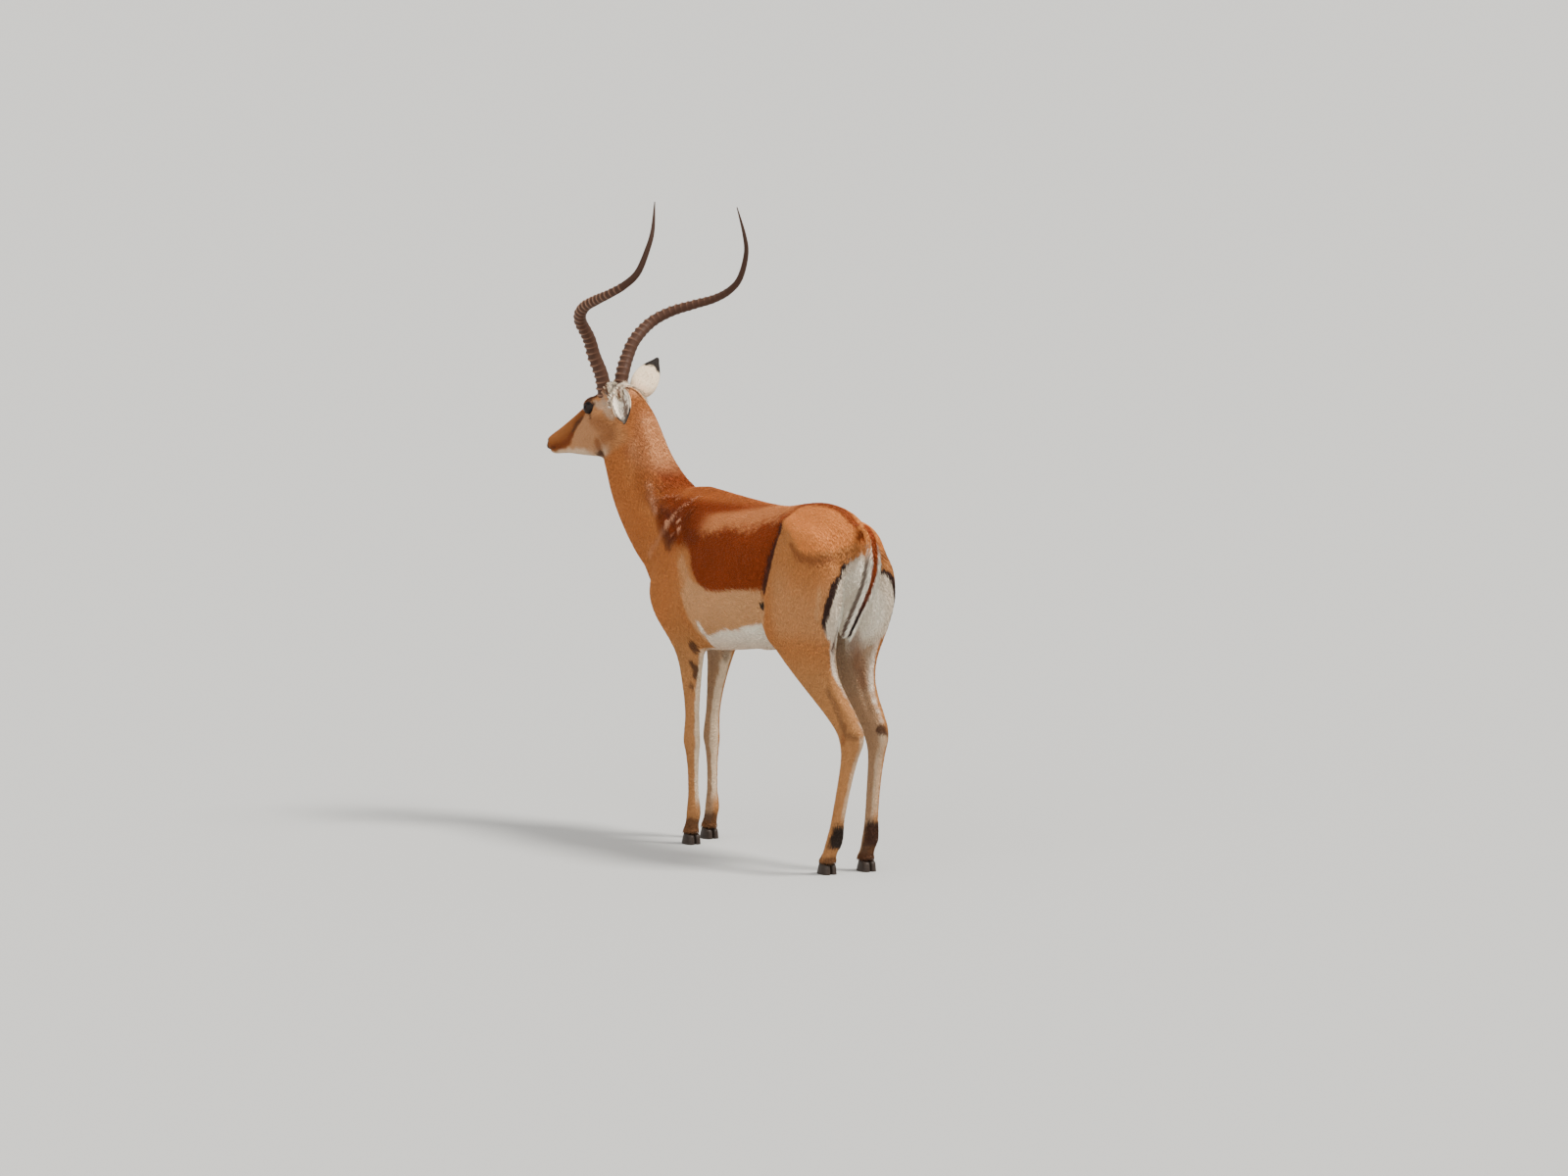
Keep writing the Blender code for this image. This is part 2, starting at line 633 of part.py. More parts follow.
def eye(name, side, mat):
    bm = bmesh.new()
    bmesh.ops.create_icosphere(bm, subdivisions=2, radius=EYE_RADIUS,
                               matrix=Matrix.Translation(in_head(EYE[0], side * EYE[1], EYE[2])))
    return mesh_object(name, bm, mat)


def seat(piece, host, by=GAP):
    """Cuts a piece back so that it meets its host with the usual clearance."""
    cutter = grown(host, by, "cutter")
    boolean(piece, cutter, "DIFFERENCE")
    remove(cutter)


def main():
    clear_scene()
    tan = material("tan_coat", TAN, 0.8)
    rufous = material("rufous_coat", RUFOUS, 0.8)
    cream = material("cream_coat", CREAM, 0.8)
    dark_horn = material("ringed_horn", HORN_BROWN, 0.45)
    hoof_black = material("hoof_horn", BLACK, 0.4)
    eye_dark = material("eye_gloss", BLACK, 0.08)
    legs = (("front_leg_left", FORELEG, 1), ("front_leg_right", FORELEG, -1),
            ("hind_leg_left", HIND_LEG, 1), ("hind_leg_right", HIND_LEG, -1))
    bm = bmesh.new()
    add_trunk(bm)
    add_neck(bm)
    add_head(bm)
    add_muscles(bm)
    add_face(bm)
    for name, table, mirror in legs:
        add_leg(bm, name, table, mirror)
    body = mesh_object("body", bm, tan)
    soften(body)
    pieces = part_body(body)
    pieces["trunk"].data.materials[0] = rufous

    tail_piece = tail(rufous)
    for host in ("trunk", "hind_leg_left", "hind_leg_right"):
        seat(tail_piece, pieces[host])
    for name, side in (("eye_left", 1), ("eye_right", -1)):
        ball = eye(name, side, eye_dark)
        seat(pieces["head"], ball)
    for name, side in (("horn_left", 1), ("horn_right", -1)):
        seat(horn(name, side, dark_horn), pieces["head"])
    for name in EARS:
        piece = ear(name, cream)
        seat(piece, pieces["head"])
        seat(piece, pieces["neck"])
    for name, _, mirror in legs:
        short = name.replace("_leg", "_claw")
        claw(short + "_inner", name, mirror, True, hoof_black)
        claw(short + "_outer", name, mirror, False, hoof_black)


main()
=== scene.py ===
import math
import time

import bmesh
import bpy
import numpy as np
from mathutils import Matrix, Vector
from mathutils.bvhtree import BVHTree


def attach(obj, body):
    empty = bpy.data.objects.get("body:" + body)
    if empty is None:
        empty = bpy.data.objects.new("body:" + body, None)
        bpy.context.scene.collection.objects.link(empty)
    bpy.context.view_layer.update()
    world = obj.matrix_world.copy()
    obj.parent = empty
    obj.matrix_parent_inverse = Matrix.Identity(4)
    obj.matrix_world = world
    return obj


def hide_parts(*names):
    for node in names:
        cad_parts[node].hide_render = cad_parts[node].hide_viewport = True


# Impala ram at life size. Places on the body are (forward, left, up) in metres; the head has its
# own frame (along the head from the poll, to its left side, above its axis).

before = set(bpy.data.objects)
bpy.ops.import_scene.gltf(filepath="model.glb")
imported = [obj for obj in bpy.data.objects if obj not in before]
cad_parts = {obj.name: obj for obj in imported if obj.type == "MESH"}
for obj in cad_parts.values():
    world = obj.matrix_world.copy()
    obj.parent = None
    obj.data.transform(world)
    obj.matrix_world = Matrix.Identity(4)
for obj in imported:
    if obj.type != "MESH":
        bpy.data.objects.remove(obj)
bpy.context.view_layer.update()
started = time.time()
dice = np.random.default_rng(41)


def note(text):
    print(f"impala: {text} at {time.time() - started:.0f} s")


pose = {
    "bodyOrigin": (0.0738, 0.0208),      # forward, left
    "poll": (0.444, 0.075, 1.114), "headTurn": 18.0, "headDrop": 23.0, "headRoll": -5.0,
}


def at(forward, left, up):
    return Vector((left - pose["bodyOrigin"][1], pose["bodyOrigin"][0] - forward, up))


headTurn = Matrix.Rotation(math.radians(pose["headTurn"]), 4, "Z")
headDrop = Matrix.Rotation(math.radians(pose["headDrop"]), 4, "X")
headRoll = Matrix.Rotation(math.radians(pose["headRoll"]), 4, "Y")
headMatrix = Matrix.Translation(at(*pose["poll"])) @ headTurn @ headDrop @ headRoll
headAxes = np.array(headMatrix.to_3x3())
headPlace = np.array(headMatrix.translation)


def inHead(along, side, above):
    return headMatrix @ Vector((side, -along, above))


def bodyCoords(co):
    return np.stack([pose["bodyOrigin"][0] - co[:, 1], co[:, 0] + pose["bodyOrigin"][1], co[:, 2]], 1)


def headCoords(co):
    q = (co - headPlace) @ headAxes
    return np.stack([-q[:, 1], q[:, 0], q[:, 2]], 1)


def unit(v):
    return v / np.maximum(np.linalg.norm(v, axis=1, keepdims=True), 1e-9)


# A table written in millimetres, its first columns or all of them made metres
def metres(rows, columns=None):
    table = np.array(rows, float)
    table[:, :columns] /= 1000
    return table


# A place of the right side moved to the left one
def onLeft(place):
    return np.column_stack([place[:, 0], np.abs(place[:, 1]), place[:, 2]])


# Directions as forward, left, up, in the frame's axes
def turned(way):
    return np.column_stack([way[:, 1], -way[:, 0], way[:, 2]])


def ramp(x, low, high):
    t = np.clip((x - low) / (high - low), 0.0, 1.0)
    return t * t * (3 - 2 * t)


# Smooth wandering field in -1..1, the sum of a few crossed waves
waves = {"count": 14, "shortest": 0.6, "step": 0.09, "spread": 5.3}
waveTurns = dice.normal(size=(waves["count"], 3))
waveTurns /= np.linalg.norm(waveTurns, axis=1, keepdims=True)
waveStarts = dice.uniform(0, 2 * math.pi, waves["count"])


def wander(co, size, shift=0.0):
    out = np.zeros(len(co))
    for k in range(waves["count"]):
        scale = 2 * math.pi / (size * (waves["shortest"] + waves["step"] * k))
        out += np.sin(co @ waveTurns[k] * scale + waveStarts[k] + shift)
    return out / waves["spread"]


# Distance to a path of (x, y, z, radius) rows in millimetres, over the radius there
def nearPath(points, path):
    rows = metres(path)
    if len(rows) == 1:
        return np.linalg.norm(points - rows[0, :3], axis=1) / rows[0, 3]
    best = np.full(len(points), 1e9)
    for a, b in zip(rows[:-1], rows[1:]):
        ab = b[:3] - a[:3]
        t = np.clip((points - a[:3]) @ ab / max(ab @ ab, 1e-12), 0, 1)
        gap = np.linalg.norm(points - a[:3] - t[:, None] * ab, axis=1)
        best = np.minimum(best, gap / (a[3] + t * (b[3] - a[3])))
    return best


# Signed distance into a flat closed loop, positive inside
def insideLoop(x, y, loop):
    inside = np.zeros(len(x), bool)
    best = np.full(len(x), 1e9)
    for a, b in zip(loop, np.roll(loop, -1, axis=0)):
        ab = b - a
        t = np.clip(((x - a[0]) * ab[0] + (y - a[1]) * ab[1]) / max(ab @ ab, 1e-12), 0, 1)
        best = np.minimum(best, np.hypot(x - a[0] - t * ab[0], y - a[1] - t * ab[1]))
        if a[1] != b[1]:
            hit = ((a[1] > y) != (b[1] > y)) & (x < a[0] + (y - a[1]) * ab[0] / ab[1])
            inside ^= hit
    return np.where(inside, best, -best)


# Rows with steps - 1 new ones between each pair, on a Catmull-Rom curve
def smoothRows(rows, steps):
    out = []
    last = len(rows) - 1
    for i in range(last):
        p, q, r, s = (np.array(rows[min(max(k, 0), last)], float) for k in (i - 1, i, i + 1, i + 2))
        for k in range(steps):
            t = k / steps
            out.append(0.5 * (2 * q + (r - p) * t + (2 * p - 5 * q + 4 * r - s) * t * t
                              + (3 * q - p - 3 * r + s) * t ** 3))
    return out + [np.array(rows[last], float)]


def circle(bm, count, cap=False):
    return bmesh.ops.create_circle(bm, cap_ends=cap, segments=count, radius=1.0)["verts"]


def edgesOf(verts):
    return {e for v in verts for e in v.link_edges}


# A superellipse ring from a circle, its upper and lower halves apart
def ring(bm, centre, across, up, width, top, bottom, power, count, cap):
    verts = circle(bm, count, cap)
    for v in verts:
        c, s = v.co.x, v.co.y
        wide = math.copysign(abs(c) ** (2 / power), c) * width
        high = math.copysign(abs(s) ** (2 / power), s) * (top if s > 0 else bottom)
        v.co = centre + across * wide + up * high
    return edgesOf(verts)


def bridgeAll(bm, loops):
    for low, high in zip(loops, loops[1:]):
        bmesh.ops.bridge_loops(bm, edges=list(low | high))


def tube(bm, rings):
    last = len(rings) - 1
    bridgeAll(bm, [ring(bm, *r, i in (0, last)) for i, r in enumerate(rings)])


def newObject(name, bm, *materials):
    bmesh.ops.recalc_face_normals(bm, faces=bm.faces)
    mesh = bpy.data.meshes.new(name)
    bm.to_mesh(mesh)
    bm.free()
    obj = bpy.data.objects.new(name, mesh)
    bpy.context.scene.collection.objects.link(obj)
    for mat in materials:
        mesh.materials.append(mat)
    mesh.shade_smooth()
    return obj


# The mesh becomes what its modifiers make of it
def settle(obj):
    bpy.context.view_layer.update()
    made = bpy.data.meshes.new_from_object(obj.evaluated_get(bpy.context.evaluated_depsgraph_get()))
    obj.modifiers.clear()
    old, obj.data = obj.data, made
    bpy.data.meshes.remove(old)
    made.name = obj.name


def readCo(mesh):
    co = np.empty(len(mesh.vertices) * 3)
    mesh.vertices.foreach_get("co", co)
    return co.reshape(-1, 3)


def readNormals(mesh):
    normals = np.empty(len(mesh.vertices) * 3, np.float32)
    mesh.vertex_normals.foreach_get("vector", normals)
    return normals.reshape(-1, 3).astype(float)


def writeCo(mesh, co):
    mesh.vertices.foreach_set("co", co.ravel())
    mesh.update()


def writeColour(mesh, colour):
    layer = mesh.attributes.new("coatColour", "FLOAT_COLOR", "POINT")
    layer.data.foreach_set("color", np.column_stack([colour, np.ones(len(colour))]).ravel())


def writeVectors(mesh, name, rows):
    mesh.attributes.new(name, "FLOAT_VECTOR", "POINT").data.foreach_set("vector", rows.ravel())


trunkRows = metres((
    (412, 735, 665, 20, 700), (385, 800, 595, 56, 698), (345, 860, 545, 82, 690),
    (290, 905, 513, 102, 682), (230, 918, 500, 115, 680), (150, 912, 500, 127, 680),
    (50, 903, 510, 138, 684), (-50, 896, 524, 140, 692), (-150, 896, 550, 130, 708),
    (-240, 908, 590, 112, 730), (-320, 916, 630, 100, 750), (-390, 906, 655, 88, 765),
    (-440, 882, 680, 66, 780), (-478, 850, 720, 36, 790),
))      # forward, top, bottom, half width, height of the widest line
neckRows = metres((
    (235, 0, 745, 130, 140, 80), (335, 6, 795, 150, 120, 90), (400, 20, 860, 138, 108, 86),
    (438, 38, 930, 122, 98, 78), (456, 55, 1000, 97, 88, 74), (463, 67, 1060, 80, 78, 66),
    (470, 73, 1100, 64, 62, 54), (477, 77, 1132, 42, 44, 40), (481, 79, 1150, 16, 18, 18),
))      # centre forward, left, up, then half depth in front, behind, half width
skullRows = metres((
    (-30, 24, 50, 30, 2.2), (-10, 45, 70, 42, 2.3), (25, 62, 88, 47, 2.3), (60, 66, 103, 48, 2.3),
    (95, 60, 105, 47, 2.3), (130, 49, 99, 41, 2.3), (165, 40, 85, 34, 2.2), (205, 31, 67, 28, 2.2),
    (240, 23.5, 50, 24.8, 2.3), (268, 17.5, 40, 24.5, 2.4), (287, 10.5, 30, 21.5, 2.3),
    (300, 0, 18, 12, 2),
), 4)      # along, top, bottom, half width, squareness
forelegRows = metres((
    (800, 270, 165, 30, 80), (720, 330, 135, 30, 106), (640, 360, 125, 30, 112), (580, 340, 130, 24, 105),
    (530, 296, 138, 24, 90), (480, 258, 160, 26, 79), (410, 241, 180, 29, 71), (340, 234, 190, 31.5, 67),
    (290, 238, 191, 30, 69.5), (262, 240, 189, 29.5, 70.5), (235, 232, 191, 32.5, 67.5),
    (190, 226, 193, 35.5, 64.5), (130, 225, 192, 36, 64), (100, 228, 187, 33.5, 66.5),
    (78, 231, 186, 32.5, 67.5), (55, 236, 194, 33.5, 66.5), (30, 249, 198, 30, 70), (8, 254, 200, 30, 70),
))      # height, front, back, inner and outer edge, on a square stance
hindLegRows = metres((
    (830, -245, -440, 40, 94), (770, -205, -484, 34, 123), (700, -182, -494, 28, 133),
    (640, -175, -482, 26, 131), (585, -184, -462, 26, 122), (535, -222, -448, 28, 109),
    (490, -272, -454, 30, 98), (445, -328, -482, 31, 88), (400, -390, -518, 33, 82),
    (365, -434, -540, 34, 80), (335, -456, -538, 36, 79), (300, -464, -520, 39, 77),
    (250, -456, -502, 41, 74.5), (190, -443, -485, 42, 73.5), (130, -430, -471, 42, 74),
    (100, -421, -468, 40, 76), (78, -413, -462, 39, 77), (55, -404, -446, 40, 76),
    (30, -386, -437, 36.5, 79.5), (8, -380, -434, 36.5, 79.5),
))
tailRows = metres((
    (-440, 0, 862, 12, 14), (-482, 0, 868, 12, 16), (-512, 0, 850, 11.5, 19), (-529, 2, 812, 11, 23),
    (-532, 7, 765, 10.5, 27), (-527, 17, 710, 10, 29), (-517, 31, 655, 9, 26), (-508, 45, 610, 7, 19),
    (-503, 54, 582, 4, 9),
))      # centre forward, left, up, half thickness, half width

stance = {
    "foreLeft": {"rows": forelegRows, "side": 1, "foot": -0.012, "knee": -0.010, "joint": 0.262,
                 "top": 0.56, "out": 0.0},
    "foreRight": {"rows": forelegRows, "side": -1, "foot": 0.046, "knee": 0.040, "joint": 0.262,
                  "top": 0.62, "out": -0.006},
    "hindLeft": {"rows": hindLegRows, "side": 1, "foot": 0.004, "knee": -0.020, "joint": 0.350,
                 "top": 0.62, "out": 0.0},
    "hindRight": {"rows": hindLegRows, "side": -1, "foot": -0.010, "knee": 0.030, "joint": 0.350,
                  "top": 0.62, "out": -0.006},
}

skinShape = {
    "voxel": 0.0034, "smoothTurns": 150, "faces": 186000, "headCuts": 1, "faceSoft": 0.16,
    "leastSoft": 0.08, "tailTop": 0.868, "tailDrop": 0.286, "tailCore": 0.42, "tailSweep": 0.013,
    "coatDepth": 0.0042, "legDepth": 0.0020, "faceDepth": 0.0016, "noseDepth": 0.0004,
}

# Muscles of both sides: centre, half length, width and height, pitch
bodyMuscles = metres((
    (235, 76, 740, 80, 32, 125, -14), (310, 62, 650, 46, 36, 52, 20), (205, 74, 610, 90, 32, 65, 28),
    (-250, 58, 852, 80, 34, 32, -8), (-330, 78, 760, 135, 46, 110, -20), (-425, 70, 705, 54, 44, 125, -4),
    (-235, 84, 610, 50, 38, 66, -10),
), 6)
middleMuscles = metres((
    (360, 5, 712, 70, 78, 105, -24), (-400, 0, 625, 28, 20, 52, 0), (-120, 0, 542, 85, 16, 16, -14),
), 6)
# On the head: along, side, above, then half length, width and height
headMuscles = metres((
    (98, 36, 35, 30, 15, 19.5), (66, 32, -50, 48, 17, 38), (272, 13.5, -1, 18, 12, 13),
    (46, 28, 52, 26, 21, 24),
))
chin = (0.262, 0.0, -0.026, 0.030, 0.017, 0.0125)


def legShift(leg, height):
    if height >= leg["top"]:
        return 0.0
    if height >= leg["joint"]:
        share = (leg["top"] - height) / (leg["top"] - leg["joint"])
        return leg["knee"] * share * share * (3 - 2 * share)
    return leg["foot"] + (leg["knee"] - leg["foot"]) * height / leg["joint"]


def legCentre(leg, height, forward, across):
    share = min(max((leg["top"] - height) / (leg["top"] - leg["joint"]), 0.0), 1.0)
    return at(forward + legShift(leg, height), leg["side"] * (across + leg["out"] * share), height)


# A ball at a place, by its half length, width and height; a muscle of the body is pitched too
def ball(bm, place, length, width, height):
    scale = Matrix.Diagonal((width, length, height, 1.0))
    bmesh.ops.create_uvsphere(bm, u_segments=24, v_segments=14, radius=1.0, matrix=place @ scale)


def bodyBall(bm, forward, left, up, length, width, height, pitch):
    ball(bm, Matrix.Translation(at(forward, left, up)) @ Matrix.Rotation(math.radians(-pitch), 4, "X"),
         length, width, height)


def headBall(bm, along, side, above, length, width, height):
    ball(bm, headMatrix @ Matrix.Translation((side, -along, above)), length, width, height)


# Centre, side, ahead, the row's numbers and the neck's direction, all the way up the neck
def neckFrames(steps):
    rows = smoothRows(neckRows, steps)
    out = []
    for k, row in enumerate(rows):
        a, b = rows[max(k - 1, 0)], rows[min(k + 1, len(rows) - 1)]
        along = (at(*b[:3]) - at(*a[:3])).normalized()
        turn = math.radians(pose["headTurn"]) * k / (len(rows) - 1)
        side = Vector((math.cos(turn), math.sin(turn), 0))
        side = (side - along * side.dot(along)).normalized()
        ahead = side.cross(along)
        out.append((at(*row[:3]), side, -ahead if ahead.y > 0 else ahead, row[3:], along))
    return out


def buildFlesh():
    bm = bmesh.new()
    x, z = Vector((1, 0, 0)), Vector((0, 0, 1))
    tube(bm, [(at(f, 0, mid), x, z, wide, top - mid, mid - low, 2.15, 32)
              for f, top, low, wide, mid in smoothRows(trunkRows, 3)])
    tube(bm, [(centre, side, ahead, size[2], size[0], size[1], 2.1, 28)
              for centre, side, ahead, size, _ in neckFrames(3)])
    side, above = Vector(headAxes[:, 0]), Vector(headAxes[:, 2])
    tube(bm, [(inHead(along, 0, 0), side, above, wide, top, low, power, 28)
              for along, top, low, wide, power in smoothRows(skullRows, 3)])
    for leg in stance.values():
        tube(bm, [(legCentre(leg, h, (front + back) / 2, (inner + outer) / 2), x, Vector((0, -1, 0)),
                   (outer - inner) / 2, (front - back) / 2, (front - back) / 2, 2.15, 24)
                  for h, front, back, inner, outer in smoothRows(leg["rows"], 3)])
    rings = []
    rows = smoothRows(tailRows, 2)
    for k, (row, after) in enumerate(zip(rows, rows[1:])):
        run = (at(*after[:3]) - at(*row[:3])).normalized()
        sweep = x * skinShape["tailSweep"] * float(ramp(np.array(k / (len(rows) - 1)), 0.45, 1.0))
        # full at the root, thin inside the hair
        slim = float(ramp(np.array(k / (len(rows) - 1)), 0.16, 0.36))
        core, thick = 1 + (skinShape["tailCore"] - 1) * slim, max(row[3] * (1 - 0.38 * slim), 0.004)
        rings.append((at(*row[:3]) + sweep, x, x.cross(run).normalized(), row[4] * core, thick, thick,
                      2.0, 24))
    tube(bm, rings)
    for sign in (1, -1):
        for forward, side, *rest in bodyMuscles:
            bodyBall(bm, forward, sign * side, *rest)
        for along, side, *rest in headMuscles:
            headBall(bm, along, sign * side, *rest)
    for row in middleMuscles:
        bodyBall(bm, *row)
    headBall(bm, *chin)
    return newObject("skin", bm)


# One closed surface over all the forms, its creases rounded, least on legs and face
def fuseFlesh(obj):
    melt = obj.modifiers.new("melt", "REMESH")
    melt.mode = "VOXEL"
    melt.voxel_size = skinShape["voxel"] * 1.0
    settle(obj)
    co = readCo(obj.data)
    body = np.clip((co[:, 2] - 0.40) / 0.14, 0.0, 1.0)
    head = headCoords(co)
    onFace = (head[:, 0] > -0.02) & (np.hypot(head[:, 1], head[:, 2]) < 0.14)
    onTail = (co[:, 1] > 0.552) & (co[:, 2] > 0.56)
    keep = np.where(onFace, skinShape["faceSoft"], np.where(onTail, skinShape["leastSoft"], 1.0))
    weight = np.maximum(skinShape["leastSoft"], np.minimum(body, keep))
    group = obj.vertex_groups.new(name="soft")
    for level in np.unique(weight.round(2)):
        group.add(np.flatnonzero(np.abs(weight - level) <= 0.0051).tolist(), float(level), "REPLACE")
    rounded = obj.modifiers.new("rounded", "SMOOTH")
    rounded.factor = 0.5
    rounded.iterations = int(skinShape["smoothTurns"] / (1.0))
    rounded.vertex_group = "soft"
    settle(obj)
    obj.vertex_groups.clear()


# Forms pressed into or raised out of the skin of both sides, in millimetres: rows of place and radius,
# then height. Head paths are in the head's frame.
bodyForms = (
    (((-244, 70, 880, 12), (-238, 100, 830, 14), (-230, 112, 770, 15), (-218, 117, 715, 13),
        (-206, 114, 665, 10)), -4.2),      # crease before the thigh
    (((-200, 118, 700, 16), (-178, 108, 640, 16), (-160, 95, 600, 14)), 3),
    (((262, 58, 905, 20), (290, 88, 830, 20), (322, 98, 745, 20)), 3.4),
    (((165, 105, 865, 26), (150, 118, 760, 24), (118, 122, 650, 20)), -4.8), (((150, 88, 602, 14),), 5),
    (((245, 106, 760, 18), (190, 110, 660, 18)), -2.6),
    (((-236, 82, 884, 20),), 6),      # point of the hip
    (((-452, 50, 815, 20),), 5),      # pin bone
    (((-190, 112, 618, 22),), 4),      # stifle
    (((-405, 128, 790, 16), (-400, 128, 680, 18), (-405, 108, 580, 14)), -3),
    (((-300, 112, 620, 20), (-360, 100, 540, 16)), -2.6),
    (((-425, 88, 500, 10), (-458, 83, 445, 8.5), (-488, 80, 405, 7)), -4.6),
    (((-425, 34, 500, 10), (-458, 34, 445, 8.5), (-488, 36, 405, 7)), -4.6),
    (((-492, 76, 330, 10),), 2.2), (((-515, 58, 372, 9),), 2),
    (((-489, 75, 280, 4.5), (-460, 73.5, 150, 4.5)), -1.6),
    (((-489, 41, 280, 4.5), (-460, 42.5, 150, 4.5)), -1.6),
    (((205, 66.5, 215, 4.5), (201, 64.5, 125, 4.5)), -1.6),
    (((205, 33.5, 215, 4.5), (201, 35.5, 125, 4.5)), -1.6), (((243, 50, 275, 11),), 2.2),
    (((186, 50, 262, 9),), 1.8), (((60, 130, 770, 12), (35, 140, 640, 12)), 1.2),
    (((20, 136, 770, 12), (-5, 140, 645, 12)), 1.2), (((-20, 138, 775, 12), (-48, 140, 655, 12)), 1.2),
    (((-62, 138, 785, 12), (-90, 136, 670, 12)), 1.2), (((-104, 134, 800, 12), (-130, 130, 700, 12)), 1),
    (((200, 0, 920, 16), (0, 0, 905, 13), (-250, 0, 912, 14), (-420, 0, 900, 14)), 3),      # spine
)
headForms = (
    (((124, 46, 40, 10), (104, 52, 49, 10), (82, 52, 43, 10)), 1),      # brow
    (((132, 42, 12, 10), (150, 34, 4, 10)), -3.6),      # hollow before the eye
    (((128, 45, 0, 9), (100, 51, -6, 10), (60, 50, 2, 11)), 3.2),
    (((180, 34, -22, 8), (140, 41, -24, 9), (100, 47, -28, 10)), 1.8),
    (((150, 34, -66, 14), (110, 44, -60, 14)), -2.6),
    # edge of the jaw
    (((98, 44, -88, 12), (55, 44, -86, 12), (26, 40, -62, 12), (18, 42, -30, 12)), 2.6),
    (((60, 50, -45, 22),), 2.2),      # cheek muscle
    (((250, 0, 24, 7), (160, 0, 43, 10)), 1.8), (((215, 21, 18, 8), (262, 19, 8, 7)), -1.4),
    (((300, 0, -6, 2.6), (290, 0, -19, 2.4), (286, 0, -26, 2.2)), -1.2),
    (((298.5, 0, -18.5, 3), (290, 15, -20.5, 3), (268, 23.5, -22.5, 3), (240, 25.5, -26.5, 2.8),
        (222, 26.2, -30, 2.4)), -3),      # mouth
    (((294, 8, -14, 5.5), (275, 21.5, -15, 5.5), (245, 25, -19, 5)), 1.4),
    (((287, 6, -29, 6), (264, 18, -30, 6)), 1.2),
    (((296.5, 8.8, -3.5, 3.6), (290, 14.5, 1, 3.4), (282, 18, 1, 2.4)), -7.5),
    (((296.5, 12.5, -11, 3.2), (286, 19.5, -7, 3.2)), 1.4),
)
eyeShape = {
    "place": (0.105, 0.0395, 0.026), "radius": 0.0165, "look": (0.34, 0.93, 0.10),
    "halfLength": 0.0150, "halfHeight": 0.0105, "tilt": 14, "lidRise": 0.0011, "lidReach": 1.50,
}


# Centre of the eye, its outward axis, the slit's long axis and its upright one
def eyeFrame(sign):
    along, side, above = eyeShape["place"]
    centre = inHead(along, sign * side, above)
    a, b, c = eyeShape["look"]
    turn = headMatrix.to_3x3()
    out = (turn @ Vector((sign * b, -a, c))).normalized()
    tilt = math.radians(eyeShape["tilt"])
    long = turn @ Vector((0, -math.cos(tilt), -math.sin(tilt)))
    long = (long - out * long.dot(out)).normalized()
    high = out.cross(long)
    if high.z < 0:
        high = -high
    return centre, out, long, high


# Round one eye: its centre, the way from it, distance, height on its axis, and share of the slit
def aroundEye(co, sign):
    centre, out, long, high = (np.array(v) for v in eyeFrame(sign))
    away = co - centre
    slit = np.hypot(away @ long / eyeShape["halfLength"], away @ high / eyeShape["halfHeight"])
    return centre, away, np.linalg.norm(away, axis=1), away @ out, slit


hoofShape = {
    "length": 0.056, "coronet": 0.030, "slope": 0.25, "fore": (0.226, 0.0500), "hind": (-0.409, 0.0580),
    "drawIn": 0.56, "lean": 0.30,
}


